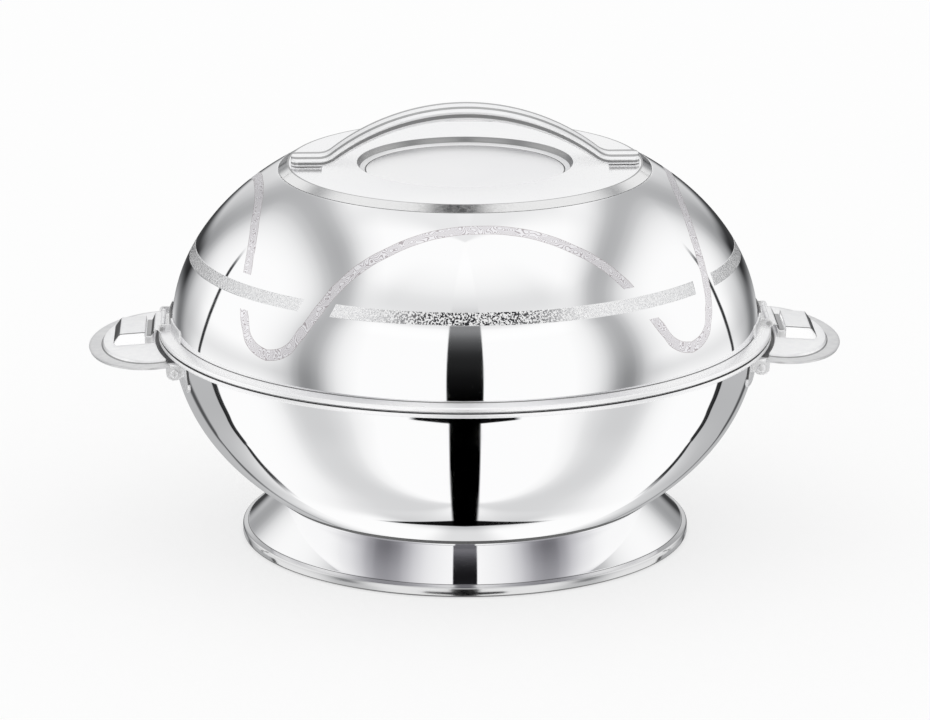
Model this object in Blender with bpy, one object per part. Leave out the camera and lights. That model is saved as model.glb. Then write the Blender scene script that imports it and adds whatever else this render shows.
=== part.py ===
"""Insulated chapati casserole: a double-walled steel bowl on a foot ring and a domed lid.

The lid is hinged on a steel leaf at each side. The right-hand leaf stays on the bowl and the
lid swings open about its pin; the left-hand leaf is the latch. A sliding catch on each side
handle moves in over the tongue of its leaf.

Units are metres. +Z is up, the object stands on Z = 0 and the side handles lie along X.
"""

import math

import bmesh
import bpy
from mathutils import Matrix, Vector

MM = 0.001

# Sheet metal and clearances
sheet = 0.8 * MM
joint_gap = 0.3 * MM
cut_overrun = 2.0 * MM
round_steps = 40
wall_steps = 5
small_round_steps = 12

# Rim
body_radius = 126.9 * MM
rim_width = 5.9 * MM
rim_plane = 91.3 * MM
rim_opening_gap = 0.4 * MM
rim_edge_round = 0.6 * MM
hem_drop = 2.1 * MM

# Bowl
shoulder_drop = 1.8 * MM
base_radius = 83.0 * MM
base_corner_round = 0.8 * MM
wall_space = 13.3 * MM
base_space = 9.2 * MM
inside_squareness = 2.6

# Foot ring
foot_height = 19.0 * MM
foot_flange_width = 13.4 * MM
foot_inset = 1.6 * MM
foot_flare = 13.8 * MM
foot_bead_radius = 2.2 * MM
foot_flat_width = 1.8 * MM
foot_bead_angles = (math.radians(70.0), math.radians(35.0), 0.0, math.radians(-40.0))

# Filler plug under the bowl
plug_stem_radius = 5.7 * MM
plug_head_overlap = 2.8 * MM
plug_head_height = 1.0 * MM

# Lid
shoulder_rise = 0.7 * MM
dome_height = 88.7 * MM
dome_top_radius = 80.8 * MM
dome_ledge_drop = 0.3 * MM
dome_ledge_width = 14.8 * MM
lip_clearance = 0.8 * MM
lip_depth = 3.5 * MM
lip_fold = 2.0 * MM
lid_space = 8.4 * MM

# Disc on top of the lid
disc_inset = 0.4 * MM
disc_bevel = 3.8 * MM
disc_rise = 2.5 * MM
disc_lip = 1.0 * MM
recess_radius = 46.8 * MM
recess_slope = 2.5 * MM
recess_depth = 3.3 * MM
recess_crown = 0.4 * MM

# Lid handle
arch_rise = 21.75 * MM
knee_radius = 9.0 * MM
handle_foot_length = 11.8 * MM
handle_end_margin = 1.8 * MM
handle_half_width = 8.5 * MM
handle_foot_depth = 3.0 * MM
handle_arch_extra = 1.8 * MM
handle_wall = 1.0 * MM
handle_arch_steps = 16
handle_knee_steps = 4
handle_crown_shares = ((1.0, 0.0), (1.0, 0.55), (0.93, 0.82), (0.76, 0.94), (0.40, 1.0))

# Leaves and their pins
pin_offset = 4.1 * MM
pin_radius = 0.75 * MM
pin_head_overlap = 0.65 * MM
pin_head_length = 0.6 * MM
leaf_over_rim = 0.6 * MM
leaf_reach = 1.5 * MM
leaf_step_length = 1.4 * MM
tongue_length = 2.1 * MM
leaf_shoulder = 1.8 * MM
barrel_steps = 12
barrel_opening_angle = math.radians(50.0)

# Brackets on the lid
lid_bracket_half_angle = math.radians(16.5)
lid_bracket_height = 5.6 * MM
lid_bracket_lift = 0.4 * MM
lid_bracket_round = 1.6 * MM
bracket_gap = 0.4 * MM
ear_gap = 0.4 * MM
ear_thickness = 0.9 * MM
bracket_shares = (0.0, 0.02, 0.06, 0.28, 0.5, 0.72, 0.94, 0.98, 1.0)

# Side handles
grip_drop = 3.3 * MM
grip_droop = math.radians(4.0)
plate_thickness = 1.0 * MM
plate_edge_clearance = 1.8 * MM
plate_centre = 2.0 * MM
plate_length = 29.3 * MM
plate_half_width = 45.5 * MM
flange_width = 5.6 * MM
step_width = 0.9 * MM
step_height = 1.4 * MM
plate_steps = 24
pad_start = 2.8 * MM
pad_length = 3.8 * MM
pad_half_width = 12.0 * MM
pad_height = 3.0 * MM
arm_width = 3.0 * MM
arm_overlap = 7.0 * MM
ear_drop = 7.0 * MM

# Brackets on the bowl
bowl_bracket_thickness = 1.2 * MM
band_below_rim = 4.3 * MM
band_height = 4.6 * MM
leg_length = 7.6 * MM
leg_width = 12.2 * MM
leg_round = 3.2 * MM
wing_margin = 2.6 * MM
wing_gap = 0.4 * MM
leg_shares = (0.0, 0.07, 0.25, 0.5, 0.75, 0.93, 1.0)

# Handle rivets
rivet_inset = 3.1 * MM
rivet_radius = 1.1 * MM
rivet_head_overlap = 1.0 * MM
rivet_head_height = 0.8 * MM

# Sliding catches
catch_gap = 0.6 * MM
catch_roof_length = 9.7 * MM
catch_slope_length = 4.5 * MM
catch_side_gap = 0.9 * MM
catch_clearance = 1.0 * MM
catch_travel = 3.0 * MM
catch_floor_margin = 1.3 * MM
stud_inset = 3.7 * MM
stud_spacing = 13.0 * MM
stud_radius = 1.6 * MM
stud_washer_overlap = 2.0 * MM
stud_head_overlap = 1.0 * MM
stud_head_height = 0.8 * MM
slot_steps = 6

# Bowl, rim and lid: heights and radii that follow from the sizes above
rim_radius = body_radius + rim_width
mouth_radius = body_radius - wall_space
bowl_widest_height = rim_plane - shoulder_drop
bowl_bottom = foot_height + joint_gap
bowl_top = rim_plane - sheet - joint_gap
bowl_corner_height = bowl_bottom + base_corner_round
bowl_curve_depth = (bowl_widest_height - bowl_corner_height) / math.sqrt(1 - (base_radius / body_radius) ** 2)
inside_depth = rim_plane - bowl_bottom - sheet - base_space
foot_top_radius = base_radius - foot_inset
foot_flange_radius = foot_top_radius - foot_flange_width
foot_skirt_radius = foot_top_radius + foot_flare
lid_plane = rim_plane + rim_opening_gap
lid_ledge_edge = lid_plane + sheet + joint_gap + sheet
lid_shoulder_height = lid_ledge_edge + shoulder_rise
disc_radius = dome_top_radius - disc_inset
disc_top_radius = disc_radius - disc_bevel
recess_floor_radius = recess_radius - recess_slope
dome_opening_radius = dome_top_radius - dome_ledge_width

# Leaves, pins and side handles: places that follow from the sizes above
pin_distance = body_radius + pin_offset
pin_bore = pin_radius + joint_gap
pin_head_radius = pin_radius + pin_head_overlap
barrel_radius = pin_bore + sheet
leaf_underside = lid_ledge_edge + leaf_over_rim
pin_height = leaf_underside + barrel_radius
grip_root = rim_radius - sheet
grip_height = rim_plane - grip_drop
tongue_half_width = pad_half_width + joint_gap
leaf_half_width = tongue_half_width + leaf_shoulder
pad_top = grip_height + pad_height * math.cos(grip_droop) - pad_start * math.sin(grip_droop)
leaf_step_drop = leaf_underside - pad_top - joint_gap
leaf_step_start = rim_radius + leaf_reach
leaf_step_end = leaf_step_start + leaf_step_length
leaf_end = leaf_step_end + tongue_length
ear_inner = leaf_half_width + ear_gap
plate_edge_radius = rim_radius + plate_edge_clearance
pad_end = pad_start + pad_length
catch_start = pad_end + catch_gap
catch_roof_end = catch_start + catch_roof_length
catch_end = catch_roof_end + catch_slope_length
catch_half_width = pad_half_width + catch_side_gap + sheet
catch_height = pad_height + catch_clearance + 2 * sheet
catch_floor_start = catch_start + catch_travel + catch_floor_margin
stud_place = catch_floor_start + stud_inset

# Brackets and rivets: places that follow from the sizes above
bracket_radius = body_radius + bracket_gap + bowl_bracket_thickness
band_top = rim_plane - band_below_rim
band_bottom = band_top - band_height
leg_bottom = band_bottom - leg_length
wing_top = grip_height - step_height - plate_thickness - wing_gap


def clear_scene():
    """Start from an empty scene."""
    for item in list(bpy.data.objects):
        bpy.data.objects.remove(item)


def material(name, colour, roughness, metallic):
    """A Principled material for one sub-part."""
    made = bpy.data.materials.new(name)
    made.use_nodes = True
    shader = made.node_tree.nodes["Principled BSDF"]
    shader.inputs["Base Color"].default_value = (*colour, 1.0)
    shader.inputs["Roughness"].default_value = roughness
    shader.inputs["Metallic"].default_value = metallic
    return made


def polished_steel(name):
    return material(name, (0.80, 0.80, 0.81), 0.08, 1.0)


def plain_steel(name):
    return material(name, (0.62, 0.62, 0.63), 0.30, 1.0)


def foam(name):
    return material(name, (0.90, 0.84, 0.62), 0.90, 0.0)


def add_object(name, mesh, finish, parent=None, location=(0.0, 0.0, 0.0)):
    """Link a mesh as a named object with its own material."""
    item = bpy.data.objects.new(name, mesh)
    if finish is not None:
        mesh.materials.append(finish)
    item.location = location
    item.parent = parent
    bpy.context.scene.collection.objects.link(item)
    return item


def finish_mesh(name, work, smooth_angle=math.radians(35.0)):
    """Close a bmesh into a mesh with outward faces and smooth round sides."""
    bmesh.ops.recalc_face_normals(work, faces=work.faces)
    mesh = bpy.data.meshes.new(name)
    work.to_mesh(mesh)
    work.free()
    mesh.shade_smooth()
    mesh.set_sharp_from_angle(angle=smooth_angle)
    return mesh


def frame_at(name, location, rotation=(0.0, 0.0, 0.0)):
    """An empty that carries the pieces of one moving or tilted group."""
    item = bpy.data.objects.new(name, None)
    item.location = location
    item.rotation_euler = rotation
    bpy.context.scene.collection.objects.link(item)
    return item


def turned_mesh(name, outline, steps=round_steps):
    """Spin a closed outline of (radius, height) points once round Z."""
    work = bmesh.new()
    points = [work.verts.new((radius, 0.0, height)) for radius, height in outline]
    for first, second in zip(points, points[1:] + points[:1]):
        on_axis = first.co.x == 0.0 and second.co.x == 0.0
        if not on_axis:
            work.edges.new((first, second))
    bmesh.ops.spin(
        work, geom=work.verts[:] + work.edges[:], cent=(0.0, 0.0, 0.0), axis=(0.0, 0.0, 1.0),
        angle=math.tau, steps=steps, use_merge=True)
    bmesh.ops.remove_doubles(work, verts=work.verts, dist=joint_gap / round_steps)
    return finish_mesh(name, work)


def turned_arc(work, outline_at, start, end, shares):
    """Carry an outline that may change on the way through part of a turn and cap both ends."""
    rings = []
    for share in shares:
        turn = Matrix.Rotation(start + (end - start) * share, 4, "Z")
        outline = outline_at(share)
        rings.append([work.verts.new(turn @ Vector((radius, 0.0, height))) for radius, height in outline])
    skin_rings(work, rings)


def round_end(share, width, radius):
    """How far a rounded end falls short of a square one, at a share of the width."""
    inwards = min(share, 1.0 - share) * width
    if inwards >= radius:
        return 0.0
    return radius - math.sqrt(radius ** 2 - (radius - inwards) ** 2)


def skin_rings(work, rings):
    """Join neighbouring rings of points with faces and cap the two ends."""
    for ring, following in zip(rings, rings[1:]):
        count = len(ring)
        for index in range(count):
            after = (index + 1) % count
            work.faces.new((ring[index], ring[after], following[after], following[index]))
    work.faces.new(rings[0])
    work.faces.new(rings[-1])


def pressed(work, outline, low, high):
    """Extrude a closed outline of (x, z) points from y = low to y = high."""
    face = work.faces.new([work.verts.new((x, low, z)) for x, z in outline])
    grown = bmesh.ops.extrude_face_region(work, geom=[face])
    moved = [item for item in grown["geom"] if isinstance(item, bmesh.types.BMVert)]
    bmesh.ops.translate(work, verts=moved, vec=(0.0, high - low, 0.0))


def pressed_mesh(name, outline, low, high):
    work = bmesh.new()
    pressed(work, outline, low, high)
    return finish_mesh(name, work)


def block(work, low, high):
    """A plain box between two corners."""
    (x0, y0, z0), (x1, y1, z1) = low, high
    pressed(work, [(x0, z0), (x1, z0), (x1, z1), (x0, z1)], y0, y1)


def block_mesh(name, low, high):
    work = bmesh.new()
    block(work, low, high)
    return finish_mesh(name, work)


def disc_points(radius, steps, start=0.0, sweep=math.tau):
    """Points on a circle or an arc, as (x, z)."""
    return [
        (radius * math.cos(start + sweep * step / steps), radius * math.sin(start + sweep * step / steps))
        for step in range(steps)]


def combine(item, other, operation):
    """Join or cut with another object, which is then only a guide."""
    modifier = item.modifiers.new(other.name, "BOOLEAN")
    modifier.operation = operation
    modifier.object = other
    modifier.solver = "EXACT"
    other.hide_render = True
    other.display_type = "WIRE"


def ellipse_side(radius, height, middle, start_height, end_height, steps):
    """Points on the side of an upright ellipse between two heights, evenly turned."""
    start = math.asin(max(-1.0, min(1.0, (start_height - middle) / height)))
    end = math.asin(max(-1.0, min(1.0, (end_height - middle) / height)))
    points = []
    for step in range(steps + 1):
        angle = start + (end - start) * step / steps
        points.append((radius * math.cos(angle), middle + height * math.sin(angle)))
    return points


def bowl_side(inset, low, high, steps=wall_steps):
    """The bowl's outer curve, moved inwards by inset, from low up to high."""
    return ellipse_side(
        body_radius - inset, bowl_curve_depth - inset, bowl_widest_height, low, high, steps)


def inside_side(outset, steps=wall_steps):
    """The curve of the bowl's inside, moved outwards by outset, from the middle up to the rim."""
    radius = mouth_radius + outset
    depth = inside_depth + outset
    points = []
    for step in range(steps + 1):
        angle = math.pi / 2 * (1 - step / steps)
        across = math.cos(angle) ** (2 / inside_squareness)
        down = math.sin(angle) ** (2 / inside_squareness)
        across = 0.0 if step == 0 else across
        points.append((radius * across, rim_plane - depth * down))
    return points


def dome_side(inset, low, high, steps=wall_steps):
    """The lid's outer curve, moved inwards by inset, from low up to high."""
    return ellipse_side(
        body_radius - inset, dome_height - inset, lid_shoulder_height, low, high, steps)


def inner_dome_side(inset, steps=wall_steps):
    """The lid liner's curve, moved inwards by inset, from its lip up to the middle."""
    radius = mouth_radius - lip_clearance - lip_fold + sheet - inset
    start = lid_plane + sheet
    height = insulation_top - lid_space - start - inset
    side = ellipse_side(radius, height, start, start, start + height, steps)
    return side[:-1] + [(0.0, start + height)]


def dome_height_at(radius):
    return lid_shoulder_height + dome_height * math.sqrt(1 - (radius / body_radius) ** 2)


disc_lip_height = dome_height_at(dome_top_radius) - dome_ledge_drop + joint_gap * 1.5
disc_top_height = disc_lip_height + disc_rise
recess_floor_height = disc_top_height - recess_depth
insulation_top = recess_floor_height - sheet - joint_gap
foot_level = disc_top_height + joint_gap + handle_foot_depth
handle_half_length = disc_top_radius - handle_end_margin
knee_place = handle_half_length - handle_foot_length
arch_radius = (knee_place ** 2 + arch_rise ** 2) / (2 * arch_rise) - knee_radius


def bowl_outer_shell():
    """The drawn outer wall, with a hole in its floor for the filler plug."""
    hole = plug_stem_radius + joint_gap
    floor = bowl_bottom + sheet
    corner = bowl_side(0.0, bowl_corner_height, bowl_top)
    inner = bowl_side(sheet, floor + base_corner_round, bowl_top)
    outline = [(hole, bowl_bottom), (corner[0][0] - 2 * base_corner_round, bowl_bottom)]
    outline += corner + inner[::-1]
    outline += [(inner[0][0] - 2 * base_corner_round, floor), (hole, floor)]
    add_object("bowl_outer_shell", turned_mesh("bowl_outer_shell", outline), polished_steel("outer_steel"))


def bowl_inner_liner():
    """The inner bowl with its flange turned down over the rim."""
    inner = inside_side(0.0)
    outer = inside_side(sheet)
    hem_bottom = rim_plane - hem_drop
    inner[-1] = (mouth_radius, rim_plane - rim_edge_round)
    outer[-1] = (mouth_radius + sheet, rim_plane - sheet)
    outline = inner + [
        (mouth_radius + rim_edge_round, rim_plane),
        (rim_radius - rim_edge_round, rim_plane),
        (rim_radius, rim_plane - rim_edge_round),
        (rim_radius, hem_bottom + rim_edge_round),
        (rim_radius - rim_edge_round, hem_bottom),
        (rim_radius - sheet, hem_bottom + joint_gap),
        (rim_radius - sheet, rim_plane - sheet)]
    outline += outer[::-1]
    add_object("bowl_inner_liner", turned_mesh("bowl_inner_liner", outline), polished_steel("liner_steel"))


def bowl_insulation():
    """The foam that fills the bowl's wall."""
    skin = sheet + joint_gap
    low = bowl_bottom + skin
    outer = bowl_side(skin, low + base_corner_round, bowl_top)
    inner = inside_side(skin)
    inner[-1] = (mouth_radius + skin, bowl_top)
    outline = [(0.0, low), (outer[0][0] - 2 * base_corner_round, low)] + outer + inner[::-1]
    add_object("bowl_insulation", turned_mesh("bowl_insulation", outline), foam("bowl_foam"))


def foot_ring():
    """The flared skirt, with a flange under the bowl and a rolled bead on the ground."""
    bead = foot_bead_radius
    centre = foot_skirt_radius
    bead_points = []
    for angle in foot_bead_angles:
        bead_points.append((centre + bead * math.cos(angle), bead + bead * math.sin(angle)))
    bead_points += [(centre + foot_flat_width / 2, 0.0), (centre - foot_flat_width / 2, 0.0)]
    outline = [(foot_flange_radius, foot_height), (foot_top_radius - sheet, foot_height),
               (foot_top_radius, foot_height - sheet / 2)]
    outline += bead_points
    outline += [(centre - bead, bead * 0.6), (centre - bead, bead + sheet),
                (foot_top_radius - 2 * sheet, foot_height - sheet), (foot_flange_radius, foot_height - sheet)]
    add_object("foot_ring", turned_mesh("foot_ring", outline), polished_steel("foot_steel"))


def base_filler_plug():
    """The plug that closes the hole through which the wall is filled."""
    top = bowl_bottom + sheet
    under = bowl_bottom - joint_gap
    head = plug_stem_radius + plug_head_overlap
    outline = [(0.0, top), (plug_stem_radius, top), (plug_stem_radius, under), (head, under),
               (head, under - plug_head_height / 2),
               (head - plug_head_height / 2, under - plug_head_height),
               (0.0, under - plug_head_height)]
    finish = material("plug_plastic", (0.30, 0.31, 0.32), 0.55, 0.0)
    add_object("base_filler_plug", turned_mesh("base_filler_plug", outline, small_round_steps * 2), finish)


def lid_outer_shell(lid):
    """The domed outer wall: shoulder, ledge and turned-down edge below, open ledge above."""
    top = dome_height_at(dome_top_radius)
    ledge = top - dome_ledge_drop
    outer = dome_side(0.0, lid_shoulder_height + sheet, top)
    inner = dome_side(sheet, lid_shoulder_height + sheet, ledge - sheet)
    edge = lid_ledge_edge
    outline = [
        (rim_radius - sheet, lid_plane), (rim_radius - rim_edge_round, lid_plane),
        (rim_radius, lid_plane + rim_edge_round), (rim_radius, edge - rim_edge_round * 1.5),
        (rim_radius - rim_edge_round, edge - rim_edge_round / 2), (rim_radius - 2 * rim_edge_round, edge),
        (body_radius + rim_edge_round, lid_shoulder_height)]
    outline += outer
    outline += [(dome_top_radius - sheet, ledge), (dome_opening_radius, ledge),
                (dome_opening_radius, ledge - sheet)]
    outline += inner[::-1]
    outline += [(body_radius - sheet, lid_shoulder_height - sheet),
                (rim_radius - 2 * rim_edge_round, edge - sheet),
                (rim_radius - sheet, edge - sheet - joint_gap)]
    add_on_lid("lid_outer_shell", turned_mesh("lid_outer_shell", outline), polished_steel("dome_steel"), lid)


def lid_inner_liner(lid):
    """The lid's liner: a flange, a lip that drops into the bowl's mouth, and a low dome."""
    lip_radius = mouth_radius - lip_clearance
    lip_bottom = lid_plane - lip_depth
    lip_inside = lip_radius - lip_fold
    inner = inner_dome_side(sheet)
    outer = inner_dome_side(0.0)
    outline = [
        (lip_inside, lip_bottom + rim_edge_round), (lip_inside + rim_edge_round, lip_bottom),
        (lip_radius - rim_edge_round, lip_bottom), (lip_radius, lip_bottom + rim_edge_round),
        (lip_radius, lid_plane), (rim_radius - sheet - joint_gap, lid_plane),
        (rim_radius - sheet - joint_gap, lid_plane + sheet)]
    outline += outer + inner[::-1]
    mesh = turned_mesh("lid_inner_liner", outline)
    add_on_lid("lid_inner_liner", mesh, polished_steel("lid_liner_steel"), lid)


def lid_insulation(lid):
    """The foam that fills the lid."""
    skin = sheet + joint_gap
    low = lid_plane + skin
    outer = dome_side(skin, lid_shoulder_height, insulation_top)
    inner = inner_dome_side(-joint_gap)
    inner[0] = (inner[0][0], low)
    outline = [(body_radius - skin, low)] + outer + [(0.0, insulation_top)] + inner[::-1]
    add_on_lid("lid_insulation", turned_mesh("lid_insulation", outline), foam("lid_foam"), lid)


def lid_top_disc(lid):
    """The cap that closes the top of the lid, with its sloping edge and round recess."""
    top = disc_top_height
    floor = recess_floor_height
    wall = recess_radius - recess_floor_radius
    outline = [
        (0.0, floor + recess_crown), (recess_floor_radius / 2, floor + recess_crown * 0.75),
        (recess_floor_radius, floor), (recess_radius, top), (disc_top_radius, top),
        (disc_radius, disc_lip_height), (disc_radius - disc_lip, disc_lip_height),
        (disc_top_radius - disc_lip / 2, top - sheet), (recess_radius - sheet / 2, top - sheet),
        (recess_radius - sheet / 2 - wall, floor - sheet), (0.0, floor + recess_crown - sheet)]
    add_on_lid("lid_top_disc", turned_mesh("lid_top_disc", outline), polished_steel("disc_steel"), lid)


def handle_line():
    """The top line of the lid handle from its left end to its right end, as (x, z, tilt)."""
    reach = arch_radius + knee_radius
    knee_angle = math.asin(knee_place / reach)
    centre_height = foot_level + arch_rise - arch_radius
    half = []
    for step in range(handle_arch_steps // 2 + 1):
        angle = knee_angle * step / (handle_arch_steps // 2)
        half.append((arch_radius * math.sin(angle), centre_height + arch_radius * math.cos(angle), angle))
    for step in range(1, handle_knee_steps + 1):
        angle = knee_angle * (1 - step / handle_knee_steps)
        half.append((knee_place - knee_radius * math.sin(angle),
                     foot_level + knee_radius - knee_radius * math.cos(angle), angle))
    half.append((handle_half_length, foot_level, 0.0))
    left = [(-x, z, -tilt) for x, z, tilt in half[:0:-1]]
    return left + half


def handle_section(x, z, tilt, depth, half_width):
    """One closed section of the lid handle, square to its line."""
    right = [(half_width * across, depth * (up - 1.0)) for across, up in handle_crown_shares]
    left = [(-across, up) for across, up in right[::-1]]
    points = []
    for across, up in right + left:
        points.append(Vector((x + up * math.sin(tilt), across, z + up * math.cos(tilt))))
    return points


def handle_solid(name, inset, half_length, drop):
    """The handle's bar, or the channel cut from below it when inset is not zero."""
    work = bmesh.new()
    rings = []
    for x, z, tilt in handle_line():
        if abs(x) > half_length and inset > 0.0:
            continue
        rise = max(0.0, 1.0 - (abs(x) / knee_place) ** 2)
        depth = handle_foot_depth + handle_arch_extra * rise
        section = handle_section(
            x - inset * math.sin(tilt), z - inset * math.cos(tilt), tilt,
            depth - inset + drop, handle_half_width - inset)
        rings.append([work.verts.new(point) for point in section])
    skin_rings(work, rings)
    return finish_mesh(name, work)


def lid_handle(lid):
    """The arched grip: a channel with closed flat feet that lie on the disc."""
    item = add_on_lid("lid_handle", handle_solid("lid_handle", 0.0, handle_half_length, 0.0),
                      polished_steel("handle_steel"), lid)
    channel = add_on_lid(
        "handle_channel",
        handle_solid("handle_channel", handle_wall, knee_place - knee_radius, cut_overrun), None, lid)
    combine(item, channel, "DIFFERENCE")


def add_on_lid(name, mesh, finish, lid):
    """Put a mesh that is drawn in the object's own frame on the lid's hinge."""
    return add_object(name, mesh, finish, lid, -lid.location)


def pin(name, lid, side):
    """A hinge pin with a small head at each end, along Y."""
    shaft_end = ear_inner + ear_thickness + joint_gap
    tip = shaft_end + pin_head_length
    outline = [(0.0, -tip), (pin_head_radius - pin_head_length / 2, -tip),
               (pin_head_radius, pin_head_length / 2 - tip), (pin_head_radius, -shaft_end),
               (pin_radius, -shaft_end)]
    outline += [(radius, -height) for radius, height in outline[::-1]]
    mesh = turned_mesh(name, outline, small_round_steps)
    mesh.transform(Matrix.Rotation(math.pi / 2, 4, "X"))
    place = Vector((side * pin_distance, 0.0, pin_height))
    if lid is None:
        return add_object(name, mesh, plain_steel(name + "_steel"), None, place)
    return add_object(name, mesh, plain_steel(name + "_steel"), lid, place - lid.location)


def sheet_outline(path, thickness):
    """Turn the middle line of a bent sheet into a closed outline."""
    upper = []
    lower = []
    for index, point in enumerate(path):
        before = path[max(index - 1, 0)]
        after = path[min(index + 1, len(path) - 1)]
        first = (Vector(point) - Vector(before)).normalized() if index > 0 else None
        second = (Vector(after) - Vector(point)).normalized() if index < len(path) - 1 else None
        first = first or second
        second = second or first
        normal = (Vector((-first.y, first.x)) + Vector((-second.y, second.x))).normalized()
        reach = thickness / 2 / max(0.5, normal.dot(Vector((-first.y, first.x))))
        upper.append(tuple(Vector(point) + normal * reach))
        lower.append(tuple(Vector(point) - normal * reach))
    return upper + lower[::-1]


def leaf_outline():
    """The side view of a leaf about its pin: rolled barrel, flat, step down and tongue."""
    middle = barrel_radius - sheet / 2
    turn = math.tau - barrel_opening_angle
    path = []
    for step in range(barrel_steps + 1):
        angle = -math.pi / 2 + barrel_opening_angle + turn * step / barrel_steps
        path.append((middle * math.cos(angle), middle * math.sin(angle)))
    level = -middle
    step_start = leaf_step_start - pin_distance
    step_end = leaf_step_end - pin_distance
    tip = leaf_end - pin_distance
    path += [(step_start, level), (step_end, level - leaf_step_drop), (tip, level - leaf_step_drop)]
    return sheet_outline(path, sheet)


def latch_leaf(name, side, parent):
    """A leaf that turns on its pin; its tongue is a little narrower than the rest."""
    work = bmesh.new()
    pressed(work, leaf_outline(), -leaf_half_width, leaf_half_width)
    mesh = finish_mesh(name, work)
    place = Vector((side * pin_distance, 0.0, pin_height))
    if parent is not None:
        place -= parent.location
    item = add_object(name, mesh, polished_steel(name + "_steel"), parent, place)
    item.rotation_euler = (0.0, 0.0, 0.0 if side > 0 else math.pi)
    step_start = leaf_step_start - pin_distance
    tip = leaf_end - pin_distance + cut_overrun
    low = -barrel_radius - leaf_step_drop - cut_overrun
    for edge, sign in (("near", -1.0), ("far", 1.0)):
        inside = sign * tongue_half_width
        outside = sign * (leaf_half_width + cut_overrun)
        notch = block_mesh(
            name + "_" + edge + "_notch",
            (step_start + sheet, min(inside, outside), low), (tip, max(inside, outside), sheet))
        cutter = add_object(name + "_" + edge + "_notch", notch, None, item)
        combine(item, cutter, "DIFFERENCE")
    return item


def lid_bracket(name, side, lid):
    """The curved plate on the lid's wall with two ears that hold the pin."""
    inner = body_radius + bracket_gap
    low = lid_shoulder_height + lid_bracket_lift
    high = low + lid_bracket_height
    half = lid_bracket_half_angle

    def plate(share):
        cut = round_end(share, 2 * half * inner, lid_bracket_round)
        outer = inner + sheet
        return [(inner, low + cut), (outer, low + cut), (outer, high - cut), (inner, high - cut)]

    work = bmesh.new()
    turned_arc(work, plate, -half, half, bracket_shares)
    mesh = finish_mesh(name, work)
    mesh.transform(Matrix.Rotation(0.0 if side > 0 else math.pi, 4, "Z"))
    item = add_on_lid(name, mesh, polished_steel(name + "_steel"), lid)
    root = inner + sheet / 2
    for edge, sign in (("near", -1.0), ("far", 1.0)):
        near = ear_inner
        far = ear_inner + ear_thickness
        foot = math.sqrt(root ** 2 - near ** 2)
        ear_round = disc_points(barrel_radius, 8, -math.pi / 2, math.pi)
        ear_round.append((0.0, barrel_radius))
        ear_side = [(pin_distance + x, pin_height + z) for x, z in ear_round]
        ear_side += [(foot, pin_height + barrel_radius), (foot, pin_height - barrel_radius + sheet)]
        ear = pressed_mesh(name + "_" + edge + "_ear", ear_side, near, far)
        bore_side = [(pin_distance + x, pin_height + z) for x, z in disc_points(pin_bore, small_round_steps)]
        bore = pressed_mesh(name + "_" + edge + "_bore", bore_side, near - cut_overrun, far + cut_overrun)
        turn = Matrix.Scale(sign, 4, (0.0, 1.0, 0.0))
        if side < 0:
            turn = Matrix.Rotation(math.pi, 4, "Z") @ turn
        for mesh_part, operation in ((ear, "UNION"), (bore, "DIFFERENCE")):
            mesh_part.transform(turn)
            if sign < 0:
                mesh_part.flip_normals()
            guide = add_on_lid(mesh_part.name, mesh_part, None, lid)
            combine(item, guide, operation)
    return item


def plate_rows():
    """Rows of points on the side handle's top face, from the outer edge to the bowl."""
    level = -step_height
    insets = ((0.0, level), (flange_width, level), (flange_width + step_width, 0.0))
    rows = []
    for inset, height in insets:
        length = plate_length - inset
        width = plate_half_width - inset
        end = edge_angle(length, width)
        row = []
        for step in range(plate_steps + 1):
            angle = -end + 2 * end * step / plate_steps
            row.append((plate_centre + length * math.cos(angle), width * math.sin(angle), height))
        rows.append(row)
    inner = []
    end = math.atan2(rows[-1][-1][1], rows[-1][-1][0] + grip_root)
    for step in range(plate_steps + 1):
        angle = -end + 2 * end * step / plate_steps
        inner.append((plate_edge_radius * math.cos(angle) - grip_root,
                      plate_edge_radius * math.sin(angle), 0.0))
    rows.append(inner)
    return rows


def edge_angle(length, width):
    """The angle at which an oval of the plate meets the round gap beside the rim."""
    low = math.pi / 2
    high = math.pi
    for _ in range(40):
        middle = (low + high) / 2
        x = plate_centre + length * math.cos(middle) + grip_root
        y = width * math.sin(middle)
        if math.hypot(x, y) > plate_edge_radius:
            low = middle
        else:
            high = middle
    return low


def plate_mesh(name):
    """The pressed plate as a closed sheet of even thickness."""
    work = bmesh.new()
    rows = plate_rows()
    top = [[work.verts.new(point) for point in row] for row in rows]
    top[-1][0] = top[-2][0]
    top[-1][-1] = top[-2][-1]
    for row, following in zip(top, top[1:]):
        for index in range(plate_steps):
            corners = [row[index], row[index + 1], following[index + 1], following[index]]
            unique = list(dict.fromkeys(corners))
            work.faces.new(unique)
    loose = [vert for vert in work.verts if not vert.link_faces]
    bmesh.ops.delete(work, geom=loose, context="VERTS")
    bmesh.ops.recalc_face_normals(work, faces=work.faces)
    if sum(face.normal.z for face in work.faces) < 0.0:
        bmesh.ops.reverse_faces(work, faces=work.faces)
    mesh = bpy.data.meshes.new(name)
    work.to_mesh(mesh)
    work.free()
    mesh.shade_smooth()
    mesh.set_sharp_from_angle(angle=math.radians(35.0))
    return mesh


def slot_outline():
    """A slot that a stud runs along, seen from above."""
    radius = stud_radius + joint_gap
    outer = stud_place
    inner = stud_place - catch_travel
    points = [(outer + x, y) for x, y in disc_points(radius, slot_steps, -math.pi / 2, math.pi)]
    points.append((outer, radius))
    points += [(inner + x, y) for x, y in disc_points(radius, slot_steps, math.pi / 2, math.pi)]
    points.append((inner, -radius))
    return points


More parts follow.
